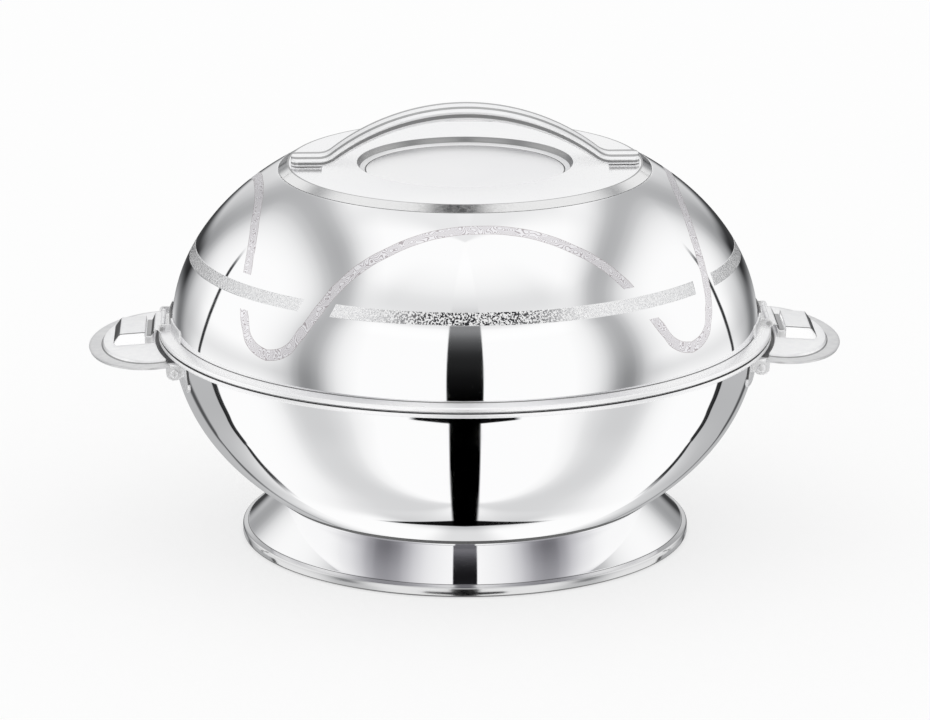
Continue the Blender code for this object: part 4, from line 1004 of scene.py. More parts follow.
# %% Foam in the lid
foam_top = 160.9
foam_bottom = 92.8
foam_edge = 125.5
outer_side = oval_side(body_radius - sheet - foam_gap, dome_height - sheet - foam_gap, shoulder,
                       shoulder + 0.2, foam_top, 60)
inner_side = oval_side(liner_radius + foam_gap, liner_height + foam_gap, liner_plane, 92.9,
                       liner_top + foam_gap, 60)
outline = [(liner_radius + foam_gap, foam_bottom), (foam_edge, foam_bottom)] + outer_side
outline += [(0.0, foam_top), (0.0, liner_top + foam_gap)] + inner_side[-2::-1]
lid_foam = fit("lid_foam", turned("lid_foam", outline, foam_steps), [foam], "lid", ["lid_insulation"])
print("lid foam faces:", len(lid_foam.data.polygons))

# %% [markdown]
# The cap is a shallow pressed disc with a sloping edge and a round recess for the fingers under the
# handle. Its sloping edge was turned on a lathe and keeps fine grooves. They are far too fine to draw, so
# the material turns the surface direction to the one that the grooves face, which is steeper than the
# cone itself. The flat part is partly satin; as a pure mirror it would be black from behind, where it
# faces the gap.

# %% A finish for the spun edge
def spun_edge(name, tone, dull, facing):
    """A cone whose spinning grooves all face one height: the light leaves it as from a steeper wall."""
    made = bpy.data.materials.new(name)
    made.use_nodes = True
    bench = NodeBench(made.node_tree)
    place = bench.add("ShaderNodeTexCoord").outputs["Object"]
    parts = bench.add("ShaderNodeSeparateXYZ")
    bench.feed(parts.inputs[0], place)
    across, along, _ = parts.outputs
    reach = bench.calc("SQRT", bench.calc(
        "ADD", bench.calc("MULTIPLY", across, across), bench.calc("MULTIPLY", along, along)))
    outward = bench.add("ShaderNodeCombineXYZ")
    narrowed = bench.calc("MULTIPLY", across, 0.42)
    raised = bench.calc("MULTIPLY", reach, math.tan(facing))
    for socket, value in zip(outward.inputs, (narrowed, along, raised)):
        bench.feed(socket, value)
    turned_with = bench.add("ShaderNodeVectorTransform", vector_type="NORMAL", convert_from="OBJECT",
                            convert_to="WORLD")
    bench.feed(turned_with.inputs[0], outward.outputs[0])
    unit = bench.add("ShaderNodeVectorMath", operation="NORMALIZE")
    bench.feed(unit.inputs[0], turned_with.outputs[0])
    metal = bench.add("ShaderNodeBsdfPrincipled")
    metal.inputs["Metallic"].default_value = 1.0
    metal.inputs["Base Color"].default_value = (tone, tone, tone, 1.0)
    grooves = bench.noise(place, 700.0, 2.0)
    bench.feed(metal.inputs["Roughness"], bench.ease(grooves, 0.3, 0.7, dull, dull + 0.06))
    bench.feed(metal.inputs["Normal"], unit.outputs[0])
    bench.feed(bench.add("ShaderNodeOutputMaterial").inputs["Surface"], metal.outputs[0])
    return made


cap_edge_steel = spun_edge("cap_edge_steel", tone=0.80, dull=0.15, facing=math.radians(19.0))
print("edge material nodes:", len(cap_edge_steel.node_tree.nodes))

# %% [markdown]
# The recess floor is very slightly crowned, which keeps its reflection from being a dead flat tone. A
# narrow ring at the brim, the wall of the recess and the thin crease at its foot are darkened with painted
# shade; they are faces of the same mesh with a finish of their own.

# %% Lid: cap
cap_top = 165.35
cap_bottom = 162.73
cap_radius = 80.65
brim_radius = 76.6
brim_width = 0.8
recess_radius = 46.5
recess_foot = 43.2
crown = 162.45
outline = [
    (0.0, crown), (14.0, crown - 0.04), (28.0, crown - 0.16), (recess_foot - 0.6, crown - 0.37),
    (recess_foot, crown - 0.42), (recess_radius - 1.1, crown + 0.45, 0.8), (recess_radius, cap_top, 0.4),
    (brim_radius - brim_width, cap_top), (brim_radius, cap_top), (cap_radius, cap_bottom, 0.1),
    (cap_radius - 1.25, cap_bottom, 0.2), (brim_radius - 0.5, cap_top - sheet, 0.3),
    (recess_radius + 0.4, cap_top - sheet, 0.3), (recess_radius - 1.4, crown - 1.2, 0.5),
    (28.0, crown - 0.96), (0.0, crown - sheet)]
cap_mesh = turned("lid_cap", rounded(outline, steps=6), 320, sharp=20.0)
# Grey painted shade, for the recess wall and the brim ring here and for the leaf's tongue under the catch.
painted_grey_shade = satin_steel("painted_grey_shade", tone=0.40, dull=0.26, grain=long_lines)
floor_steel = satin_steel("floor_steel", tone=0.97, dull=0.28, grain=long_lines, streak=0.03)
for face in cap_mesh.polygons:
    out = math.hypot(face.center.x, face.center.y) / mm
    level = face.center.z / mm
    edge = out > brim_radius + 0.2 and level < cap_top - 0.15 and face.normal.z > 0.3
    under = out > cap_radius - 1.65 and level < cap_bottom + 0.47 and not edge
    wall = recess_radius - 1.2 < out < recess_radius + 0.5 and level < cap_top - 0.1
    crease = recess_foot - 0.7 < out < recess_foot + 0.1
    brim = brim_radius - brim_width < out < brim_radius + 0.05 and level > cap_top - 0.05
    recess_floor = out < recess_radius - 1.1
    face.material_index = finish_for((edge, 1), (wall or brim, 2), (crease, 3), (recess_floor or under, 4))
lid_cap = fit("lid_cap", cap_mesh, [cap_steel, cap_edge_steel, painted_grey_shade, painted_shade_steel, floor_steel],
              "lid", ["lid_top_disc"])
print("cap faces:", len(lid_cap.data.polygons))

# %% [markdown]
# ## The lid handle
#
# A channel of thick sheet, bent in a flat arch over the recess, with closed flat feet. It is a section
# carried along a line: each ring holds the crowned top and, on its inside, the hollow of the channel,
# which runs out flat at the feet. The ends are rounded in plan. A curve with a bevel object would give
# the same sweep, but plain rings let the hollow and the depth change along the way.

# %% Line of the arched handle
foot_thick = 3.0
middle_thick = 4.8
foot_level = cap_top + joint_gap + foot_thick
arch_rise = 21.62
knee_radius = 9.0
handle_half_length = 74.8
knee_place = 63.0
handle_half_width = 8.5
arch_radius = (knee_place ** 2 + arch_rise ** 2) / (2 * arch_rise) - knee_radius
knee_angle = math.asin(knee_place / (arch_radius + knee_radius))
end_round = 3.2


def handle_stations():
    """Points of the handle's top line from the middle to one end: x, z, tilt, half width, fall."""
    stations = []
    middle = foot_level + arch_rise - arch_radius
    for step in range(41):
        angle = knee_angle * step / 40
        stations.append((arch_radius * math.sin(angle), middle + arch_radius * math.cos(angle), angle,
                         handle_half_width, 0.0))
    for step in range(1, 17):
        angle = knee_angle * (1 - step / 16)
        stations.append((knee_place - knee_radius * math.sin(angle),
                         foot_level + knee_radius - knee_radius * math.cos(angle), angle,
                         handle_half_width, 0.0))
    flat_end = handle_half_length - end_round
    stations.append((flat_end, foot_level, 0.0, handle_half_width, 0.0))
    for step in range(1, 9):
        angle = math.pi / 2 * step / 8
        fall = 0.5 * max(0.0, (step - 4) / 4) ** 2
        stations.append((flat_end + end_round * math.sin(angle), foot_level, 0.0,
                         handle_half_width - end_round * (1 - math.cos(angle)), fall))
    return stations


half = handle_stations()
full = [(-x, z, -tilt, width, fall) for x, z, tilt, width, fall in half[:0:-1]] + half
print("handle stations:", len(full))


# %% Section of the handle
def handle_ring(x, z, tilt, half, fall):
    """One closed ring of the section: the pressed top with its shoulders, then the hollow."""
    share = min(1.0, abs(x) / knee_place)
    depth = foot_thick + (middle_thick - foot_thick) * max(0.0, 1.0 - share ** 2)
    thickness = 1.0
    hollow_end, hollow_fade = 58.0, 8.0
    hollow = (depth - thickness) * min(1.0, max(0.0, (hollow_end - abs(x)) / hollow_fade))
    side = [(half, -depth), (half, -depth * 0.78), (half, -depth * 0.45)]
    drop = depth * 0.38
    shoulder_width, dip = 2.6, 0.22
    for step in range(7):
        angle = math.pi / 2 * step / 6
        side.append((half - shoulder_width + shoulder_width * math.cos(angle),
                     -dip - (drop - dip) * (1 - math.sin(angle)) - fall))
    flat = half - 3.7
    side += [(half - 2.75, -0.2 - fall), (flat, -0.03 - fall)]
    side += [(flat * s, 0.10 * (1 - s * s) - fall) for s in (0.75, 0.5, 0.25, 0.0)]
    side += [(-a, b) for a, b in side[-2::-1]]
    wall = half - thickness
    inner = [(-wall, -depth), (-wall, -depth + hollow * 0.6), (-wall + 0.6, -depth + hollow),
             (wall - 0.6, -depth + hollow), (wall, -depth + hollow * 0.6), (wall, -depth)]
    ring = []
    for out, up in side + inner:
        ring.append(((x + up * math.sin(tilt)) * mm, out * mm, (z + up * math.cos(tilt)) * mm))
    return ring


def lofted(name, rings, sharp=30.0, marked=None):
    """Join rings of points with faces; marked gives the number of the finish of a strip or the ends."""
    marked = marked or {}
    work = bmesh.new()
    made = [[work.verts.new(point) for point in ring] for ring in rings]
    for ring, after in zip(made, made[1:]):
        count = len(ring)
        for index in range(count):
            following = (index + 1) % count
            face = work.faces.new((ring[index], ring[following], after[following], after[index]))
            face.material_index = marked.get(index, 0)
    for end in (made[0], made[-1]):
        work.faces.new(end).material_index = marked.get("ends", 0)
    bmesh.ops.remove_doubles(work, verts=work.verts, dist=0.002 * mm)
    return finished(name, work, sharp)


print("points in a ring:", len(handle_ring(*full[0])))

# %% [markdown]
# The top is pale satin with two bands of painted shade on the rolled shoulders, and a thin painted shadow
# line low on each side.
# Each strip between two points of the ring has the same place all along the handle, so its number picks
# the finish.
#
# The photograph's cap mirrors the handle's feet but hardly its arch. So the handle is drawn in three
# pieces, cut just above the knees, and the arch alone is left out of the reflections.

# %% Build the arched handle
along_grip = (14.0, 900.0, 900.0)
grip_satin = satin_steel("grip_satin", tone=0.98, dull=0.30, grain=along_grip, streak=0.05, metallic=0.6)
# Darker copies of the grip's satin: a painted shadow line low on each side and painted shade on the
# shoulders.
painted_shadow_line = satin_steel("painted_shadow_line", tone=0.42, dull=0.30, grain=along_grip, streak=0.15)
painted_shoulder_shade = satin_steel("painted_shoulder_shade", tone=0.46, dull=0.30, grain=along_grip, streak=0.12)
handle_finish = [grip_satin, painted_shadow_line, painted_shoulder_shade, rim_steel]
strips = {index: 2 for index in (*range(2, 13), *range(18, 22))}
strips.update({1: 1, 28: 1, 29: 3, 30: 3})

arch = [station for station in full if abs(station[0]) <= knee_place - 1.0]
cut_place = arch[-1][0]
left_foot = [station for station in full if station[0] <= 0.001 - cut_place]
right_foot = [station for station in full if station[0] >= cut_place - 0.001]
for name, stations, nodes in (("lid_grip", arch, ["lid_handle"]), ("left_grip_foot", left_foot, []),
                              ("right_grip_foot", right_foot, [])):
    grip_mesh = lofted(name, [handle_ring(*station) for station in stations], marked=strips)
    fit(name, grip_mesh, handle_finish, "lid", nodes, mirrored=not nodes)
    print(name, "rings:", len(stations))

# %% [markdown]
# ## Fittings at the sides
#
# Left and right are the same set of pieces, turned by half a turn. Each piece is drawn once for the
# right-hand side, and a placing matrix moves it. The side handle and its catch droop by four degrees.
# They are drawn one millimetre higher than in the CAD model, where the photograph shows them.

# %% Places and small helpers for the fittings
pin_distance = 131.0
pin_height = 96.05
grip_root = 132.0
grip_height = 89.0
grip_droop = math.radians(4.0)


def half_turn(side):
    """The right-hand side is 1 and stays; the left-hand side is -1."""
    return Matrix.Rotation(0.0 if side > 0 else math.pi, 4, "Z")


def on_grip(side):
    return half_turn(side) @ Matrix.Translation((grip_root * mm, 0.0, grip_height * mm)) @ Matrix.Rotation(
        grip_droop, 4, "Y")


def at_pin(side):
    return half_turn(side) @ Matrix.Translation((pin_distance * mm, 0.0, pin_height * mm))


def settled(name, mesh, *changes):
    """Run modifiers on a mesh and give back the plain result."""
    holder = bpy.data.objects.new(name, mesh)
    bpy.context.scene.collection.objects.link(holder)
    for kind, settings in changes:
        change = holder.modifiers.new(kind, kind)
        for key, value in settings.items():
            setattr(change, key, value)
    graph = bpy.context.evaluated_depsgraph_get()
    result = bpy.data.meshes.new_from_object(holder.evaluated_get(graph), depsgraph=graph)
    bpy.data.objects.remove(holder)
    result.name = name
    return result


def softened(width, steps=3, angle=35.0):
    """Settings for a Bevel modifier that rounds hard edges."""
    return ("BEVEL", {"width": width * mm, "segments": steps, "limit_method": "ANGLE",
                      "angle_limit": math.radians(angle), "harden_normals": False})


def thick(thickness, offset):
    return ("SOLIDIFY", {"thickness": thickness * mm, "offset": offset, "use_even_offset": True})


def smooth_again(mesh, sharp=32.0):
    mesh.shade_smooth()
    mesh.set_sharp_from_angle(angle=math.radians(sharp))
    return mesh


def merged(name, meshes):
    """One mesh from several."""
    work = bmesh.new()
    for mesh in meshes:
        work.from_mesh(mesh)
    return finished(name, work, 32.0)


def prism(outline, low, high):
    """Extrude an outline of (x, z) points along Y."""
    work = bmesh.new()
    rings = []
    for level in (low, high):
        rings.append([work.verts.new((x * mm, level * mm, z * mm)) for x, z in outline])
    count = len(outline)
    for index in range(count):
        after = (index + 1) % count
        work.faces.new((rings[0][index], rings[0][after], rings[1][after], rings[1][index]))
    work.faces.new(rings[0])
    work.faces.new(rings[1])
    return finished("prism", work, 32.0)


print("right grip frame:", [round(v / mm, 1) for v in on_grip(1).translation])

# %% [markdown]
# ### The side handle
#
# Each handle is one pressed plate, half an oval in plan. A flat flange runs round the outside; a sharp
# step lifts the middle by 1.4 mm. The inner edge follows the rim at a small distance. The plate is a grid
# of points: rows run along the oval from one end to the other, and the rows on the step are close
# together, which makes the crisp line that the photograph shows. The rows on the flange, on the steep
# part of the step and on the lip that is turned down beside the rim each have a finish of their own:
# painted shade, light on the flange, darker on the step and darkest on the lip.

# %% Side handle: the pressed plate
plate_centre = 2.0
plate_length = 29.3
plate_half_width = 45.5
flange_width = 5.6
step_width = 0.9
step_height = 1.4
plate_edge_radius = 134.6
plate_thickness = 1.0


def oval_end(length, width):
    """The angle at which an oval of the plate meets the round gap beside the rim."""
    low, high = math.pi / 2, math.pi
    for _ in range(40):
        middle = (low + high) / 2
        x = plate_centre + length * math.cos(middle) + grip_root
        if math.hypot(x, width * math.sin(middle)) > plate_edge_radius:
            low = middle
        else:
            high = middle
    return low


def plate_row(inset, height, steps=120):
    length = plate_length - inset
    width = plate_half_width - inset
    end = oval_end(length, width)
    row = []
    for step in range(steps + 1):
        angle = -end + 2 * end * step / steps
        row.append(Vector((plate_centre + length * math.cos(angle), width * math.sin(angle), height)))
    return row


def plate_grid(steps=120):
    rows = [plate_row(0.0, -step_height - 0.25), plate_row(0.5, -step_height - 0.06),
            plate_row(1.2, -step_height)]
    rows += [plate_row(inset, -step_height) for inset in (2.6, 4.0, flange_width - 0.4)]
    for step in range(9):
        share = step / 8
        lift = share * share * (3 - 2 * share)
        rows.append(plate_row(flange_width - 0.2 + (step_width + 0.4) * share, -step_height * (1 - lift)))
    last = rows[-1]
    end = math.atan2(last[-1].y, last[-1].x + grip_root)
    inner = []
    for step in range(steps + 1):
        angle = -end + 2 * end * step / steps
        inner.append(Vector((plate_edge_radius * math.cos(angle) - grip_root,
                             plate_edge_radius * math.sin(angle), 0.0)))
    for share in (0.15, 0.3, 0.45, 0.6, 0.75, 0.9, 1.0):
        rows.append([a.lerp(b, share) for a, b in zip(last, inner)])
    for outward, drop in ((0.3, 0.7), (1.2, 1.6), (3.0, 2.0), (5.6, 2.1)):
        lip = []
        for step in range(steps + 1):
            angle = -end + 2 * end * step / steps
            lip.append(Vector(((plate_edge_radius - outward) * math.cos(angle) - grip_root,
                               (plate_edge_radius - outward) * math.sin(angle), -drop)))
        rows.append(lip)
    return rows


def sheet_from(rows, finish_at=lambda index: 0):
    """A single skin of faces from rows of points in mm; finish_at gives the finish of each row."""
    work = bmesh.new()
    made = [[work.verts.new(Vector(point) * mm) for point in row] for row in rows]
    for place, (row, after) in enumerate(zip(made, made[1:])):
        for index in range(len(row) - 1):
            face = work.faces.new((row[index], row[index + 1], after[index + 1], after[index]))
            face.material_index = finish_at(place)
    bmesh.ops.remove_doubles(work, verts=work.verts, dist=0.02 * mm)
    bmesh.ops.dissolve_degenerate(work, edges=work.edges, dist=0.01 * mm)
    bmesh.ops.recalc_face_normals(work, faces=work.faces)
    if sum(face.normal.z for face in work.faces) < 0.0:
        bmesh.ops.reverse_faces(work, faces=work.faces)
    mesh = bpy.data.meshes.new("sheet")
    work.to_mesh(mesh)
    work.free()
    return mesh


def plate_finish(row):
    flange_rows, step_rows, lip_rows = range(0, 6), range(6, 9), range(22, 26)
    return finish_for((row in flange_rows, 1), (row in lip_rows, 2), (row in step_rows, 3))


plate_mesh = smooth_again(settled("plate", sheet_from(plate_grid(), plate_finish),
                                  thick(plate_thickness, -1.0), softened(0.3, 3, 50.0)))
print("plate faces:", len(plate_mesh.polygons))

# %% [markdown]
# Two corner arms reach in beside the bowl, each with an ear turned down for the rivet. The pad is a
# small raised block in front of the rim on which the leaf's tongue comes to rest.

# %% Side handle: arms, ears and pad
ear_drop = 7.0
arm_width = 3.0
arm_overlap = 7.0
bracket_radius = 128.5
ear_face = plate_half_width * math.sin(oval_end(plate_length, plate_half_width)) - joint_gap
arm_inside = ear_face - arm_width
arm_reach = grip_root - math.sqrt(bracket_radius ** 2 - arm_inside ** 2) - joint_gap
rivet_x = -arm_reach + 3.1
rivet_z = -step_height - ear_drop / 2


def round_short(share, width, radius):
    """How far a rounded end falls short of a square one, at a share of the width."""
    inwards = min(share, 1.0 - share) * width
    if inwards >= radius:
        return 0.0
    return radius - math.sqrt(radius ** 2 - (radius - inwards) ** 2)


def arm_sheet(sign):
    rows = []
    level = -step_height
    bend = 1.3
    shares = (0.0, 0.03, 0.08, 0.15, 0.25, 0.35, 0.5, 0.65, 0.75, 0.85, 0.92, 0.97, 1.0)
    for share in shares:
        x = -arm_reach + arm_overlap * share
        low = level - ear_drop + round_short(share, arm_overlap, 3.0)
        path = [(ear_face - arm_width, level), (ear_face - bend - 0.4, level)]
        for step in range(7):
            angle = math.pi / 2 * (1 - step / 6)
            path.append((ear_face - bend + bend * math.cos(angle), level - bend + bend * math.sin(angle)))
        path += [(ear_face, level - bend + (low - level + bend) * s) for s in (0.3, 0.6, 0.85, 1.0)]
        rows.append([(x, sign * y, z) for y, z in path])
    mesh = sheet_from(rows)
    return smooth_again(settled("arm", mesh, thick(plate_thickness, -1.0), softened(0.25, 2, 50.0)))


pad_start, pad_end, pad_half, pad_height = 2.8, 6.6, 12.0, 3.0
pad_outline = [(pad_start, -0.6, 0.0), (pad_end, -0.6, 0.0), (pad_end, pad_height, 0.7),
               (pad_start, pad_height, 0.7)]
pad_block = prism(rounded(pad_outline), -pad_half, pad_half)
pad_mesh = smooth_again(settled("pad", pad_block, softened(0.4, 3, 50.0)))
side_plate = merged("side_plate", [plate_mesh, pad_mesh, arm_sheet(1.0), arm_sheet(-1.0)])
even_grain = (300.0, 300.0, 300.0)
grip_steel = satin_steel("grip_steel", tone=0.97, dull=0.30, grain=even_grain, streak=0.04, metallic=0.6)
# Darker copies of the plate's satin: painted shade on the flange and on the step.
painted_flange_shade = satin_steel("painted_flange_shade", tone=0.76, dull=0.34, grain=even_grain, streak=0.05)
painted_step_shade = satin_steel("painted_step_shade", tone=0.40, dull=0.34, grain=even_grain, streak=0.05)
for word, side in (("left", -1), ("right", 1)):
    mesh = side_plate.copy()
    mesh.transform(on_grip(side))
    fit(word + "_grip_plate", mesh, [grip_steel, painted_flange_shade, painted_shade_steel, painted_step_shade], "base",
        [word + "_side_handle"], mirrored=False)
print("ear face at mm", round(ear_face, 2), "arm reach", round(arm_reach, 2))

# %% [markdown]
# ### The bracket under the rim
#
# A band follows the bowl just below the rim bead, with a broad leg down the wall at each end. Wings stand
# out from it and hold the ears of the handle with a rivet each.

# %% Bracket on the bowl
band_top = 87.0
band_bottom = 82.4
leg_bottom = 74.8
leg_width = 12.2
bracket_thick = 1.2
half_angle = math.asin((ear_face + plate_thickness) / bracket_radius)


def wall_points(low, high, steps=6):
    """A section of the bracket, which lies on the bowl's curve with a small gap."""
    near = oval_side(body_radius + 0.4, bowl_depth + 0.4, bowl_widest, low, high, steps)
    far = oval_side(bracket_radius, bowl_depth + 0.4 + bracket_thick, bowl_widest, low, high, steps)
    return near + far[::-1]


def arc_loft(start, end, section_at, steps=40):
    rings = []
    for step in range(steps + 1):
        share = step / steps
        angle = start + (end - start) * share
        rings.append([(r * mm * math.cos(angle), r * mm * math.sin(angle), z * mm)
                      for r, z in section_at(share)])
    return lofted("arc", rings, 32.0, marked={"ends": 1})


def bracket_mesh():
    parts = [arc_loft(-half_angle, half_angle, lambda share: wall_points(band_bottom, band_top))]
    leg_angle = leg_width / bracket_radius
    for sign in (1.0, -1.0):
        ends = sorted((sign * half_angle, sign * (half_angle - leg_angle)))
        parts.append(arc_loft(ends[0], ends[1], lambda share: wall_points(
            leg_bottom + round_short(share, leg_width, 4.4), band_bottom + 1.2), 28))
        face = ear_face - plate_thickness - 0.4
        start = math.sqrt((bracket_radius - 0.6) ** 2 - face ** 2)
        middle = grip_height + rivet_z
        tip = grip_root + rivet_x + 2.6
        top = grip_height - step_height - plate_thickness - 0.4
        bottom = 2 * middle - top
        wing = [(start, bottom, 0.0), (tip, bottom, 2.4), (tip, top, 2.4), (start, top, 0.0)]
        sides = sorted((sign * face, sign * (face - bracket_thick)))
        parts.append(prism(rounded(wing), sides[0], sides[1]))
    soft = [smooth_again(settled("part", part, softened(0.25, 2, 50.0))) for part in parts]
    return merged("bracket", soft)


# The cut ends of the band and of the legs get dark painted shade: the dark line between bracket and bowl.
bowl_bracket = bracket_mesh()
for word, side in (("left", -1), ("right", 1)):
    mesh = bowl_bracket.copy()
    mesh.transform(half_turn(side))
    fit(word + "_rim_bracket", mesh, [fitting_steel, painted_shade_steel], "base", [word + "_handle_bracket"],
        mirrored=False)
print("bracket faces:", len(bowl_bracket.polygons))

# %% [markdown]
# ### Brackets, pins and leaves of the lid
#
# A curved strip on the dome's foot carries two small ears with a pin between them. The strip is darker
# between the ears, where it stands in the shade of the leaf's roll.

# %% Lid bracket
ear_near = 14.5
ear_far = 15.4
strap_bottom = 94.7
strap_top = 100.3
strap_radius = 127.3
strap_turn = math.radians(16.5)
ear_round = 1.85


def strap_section(share):
    """The section of the strip at a share of its length; both ends are rounded."""
    cut = round_short(share, 2 * strap_turn * strap_radius, 1.9)
    low, high, outer = strap_bottom + cut, strap_top - cut, strap_radius + sheet
    return [(strap_radius, low), (outer, low), (outer, high), (strap_radius, high)]


def lid_bracket_mesh():
    parts = [arc_loft(-strap_turn, strap_turn, strap_section, 96)]
    for face in parts[0].polygons:
        between_ears = abs(face.center.y) < 14.0 * mm
        if between_ears:
            face.material_index = 2
    for sign in (1.0, -1.0):
        foot = math.sqrt((strap_radius + sheet / 2) ** 2 - ear_near ** 2)
        side = []
        for step in range(17):
            angle = -math.pi / 2 + math.pi * step / 16
            side.append((pin_distance + ear_round * math.cos(angle),
                         pin_height + ear_round * math.sin(angle)))
        side += [(foot, pin_height + ear_round), (foot, pin_height - 1.0)]
        ends = sorted((sign * ear_near, sign * ear_far))
        parts.append(prism(side, ends[0], ends[1]))
    soft = [smooth_again(settled("part", part, softened(0.2, 2, 50.0))) for part in parts]
    return merged("lid_bracket", soft)


# Between the ears the strip gets dark painted shade.
strap = lid_bracket_mesh()
for word, side in (("left", -1), ("right", 1)):
    mesh = strap.copy()
    mesh.transform(half_turn(side))
    fit(word + "_dome_strap", mesh, [fitting_steel, rim_steel, painted_shade_steel], "lid",
        [word + "_lid_bracket"], mirrored=False)
print("strap faces:", len(strap.polygons))

# %% [markdown]
# Each pin is a short shaft with a small head at both ends. The left one stays with the lid, and the right
# one with the bowl.

# %% Hinge pins
def turned_part(name, outline, steps=40):
    return turned(name, rounded(outline, steps=4), steps)


shaft_end = ear_far + joint_gap
pin_end = shaft_end + 0.6
pin_outline = [(0.0, -pin_end), (1.1, -pin_end, 0.25), (1.4, -shaft_end - 0.25, 0.2),
               (1.4, -shaft_end, 0.1), (0.75, -shaft_end)]
pin_outline += [(r, -z, *rest) for r, z, *rest in pin_outline[::-1]]
pin_mesh = turned_part("pin", pin_outline)
pin_mesh.transform(Matrix.Rotation(math.pi / 2, 4, "X"))
for word, side, body in (("left", -1, "lid"), ("right", 1, "base")):
    mesh = pin_mesh.copy()
    mesh.transform(at_pin(side))
    fit(word + "_pin", mesh, [hardware_steel], body, [word + "_hinge_pin"], mirrored=False)
print("pins placed")

# %% [markdown]
# The leaf is one strip of sheet: a tight roll round the pin, a flat that runs out level over the rim, a
# short steep step and a narrower tongue that lies on the pad of the side handle. Three short slots in the
# roll let it be bent. The sheet is drawn as a skin along its middle line, with the faces of the slots left
# out, and modifiers then give it its thickness and round its edges. It is thinner and its roll tighter
# than in the CAD model, as the photograph shows them.

# %% Line of a leaf
leaf_sheet = 0.5
roll_top = 0.75
flat_middle = -0.92
roll_steps = 32
step_start = 134.3 - pin_distance
step_end = 135.7 - pin_distance
tongue_tip = 137.8 - pin_distance
leaf_half = 14.1
tongue_half = 12.3
leaf_bottom = 94.2
pad_level = grip_height + pad_height * math.cos(grip_droop) - pad_start * math.sin(grip_droop)
leaf_drop = leaf_bottom - pad_level - joint_gap
slot_places = (-10.6, 0.0, 10.6)


def leaf_path():
    """The middle line of the sheet in the pin's frame: a tight roll, a flat, a step and a tongue."""
    path = []
    for step in range(roll_steps + 1):
        share = step / roll_steps
        angle = math.radians(40.0 + 230.0 * share)
        reach = roll_top + (-flat_middle - roll_top) * share
        path.append(Vector((reach * math.cos(angle), reach * math.sin(angle))))
    tongue = leaf_bottom - pin_height - leaf_drop + leaf_sheet / 2
    line = rounded([(0.0, flat_middle, 0.0), (step_start, flat_middle, 0.8), (step_end, tongue, 0.8),
                    (tongue_tip, tongue, 0.0)], closed=False, steps=6)
    flat = [Vector((step_start * share, flat_middle)) for share in (0.2, 0.4, 0.6)]
    return path + flat + [Vector(point) for point in line[1:]]


print("points along a leaf:", len(leaf_path()))


# %% Leaves with their tongues
def leaf_mesh():
    path = leaf_path()
    shares = [-1.0, -0.97, -0.9]
    for place in slot_places:
        shares += [(place - 1.1) / leaf_half, (place - 0.4) / leaf_half, (place + 0.4) / leaf_half,
                   (place + 1.1) / leaf_half]
    shares += [0.9, 0.97, 1.0]
    rows = []
    for point in path:
        beyond = point.x > step_start + 0.35
        half = tongue_half if beyond else leaf_half
        rows.append([(point.x, half * share, point.y) for share in shares])
    work = bmesh.new()
    made = [[work.verts.new(Vector(point) * mm) for point in row] for row in rows]
    for index, (row, after) in enumerate(zip(made, made[1:])):
        slotted = index < 14
        on_step = index >= roll_steps and path[index].y > path[index + 1].y + 0.15
        on_tongue = path[index].y < flat_middle - 0.5
        for spot in range(len(shares) - 1):
            middle = (shares[spot] + shares[spot + 1]) / 2 * leaf_half
            if slotted and any(abs(middle - place) < 0.4 for place in slot_places):
                continue
            face = work.faces.new((row[spot], row[spot + 1], after[spot + 1], after[spot]))
            face.material_index = finish_for((on_step, 1), (on_tongue, 2))
    bmesh.ops.recalc_face_normals(work, faces=work.faces)
    mesh = bpy.data.meshes.new("leaf")
    work.to_mesh(mesh)
    work.free()
    return smooth_again(settled("leaf", mesh, thick(leaf_sheet, 0.0), softened(0.12, 2, 50.0)))


# The leaf's step gets dark painted shade, and its tongue, under the catch, grey painted shade.
leaf = leaf_mesh()
for word, side, body in (("left", -1, "left_latch"), ("right", 1, "base")):
    mesh = leaf.copy()
    mesh.transform(at_pin(side))
    fit(word + "_leaf", mesh, [fitting_steel, painted_shade_steel, painted_grey_shade], body, [word + "_latch_leaf"],
        mirrored=False)
print("leaf faces:", len(leaf.polygons), "step in mm", round(leaf_drop, 2))

# %% [markdown]
# ### The sliding catch
#
# A little folded box with a sloping thumb face. It is a solid side view pushed through its width, hollowed
# by a second one, and then every edge is rounded, as a folded and polished sheet would be. Its roof
# reaches a little nearer to the leaf than in the CAD model, and still leaves room for its travel.
#
# The cheeks at its two ends are bright in the photograph. A flat mirror there would show the dark gap of
# the tent, so the material has them ground a little out of square: a ramp in the bump tilts the surface
# outwards and up, towards the white cloth.

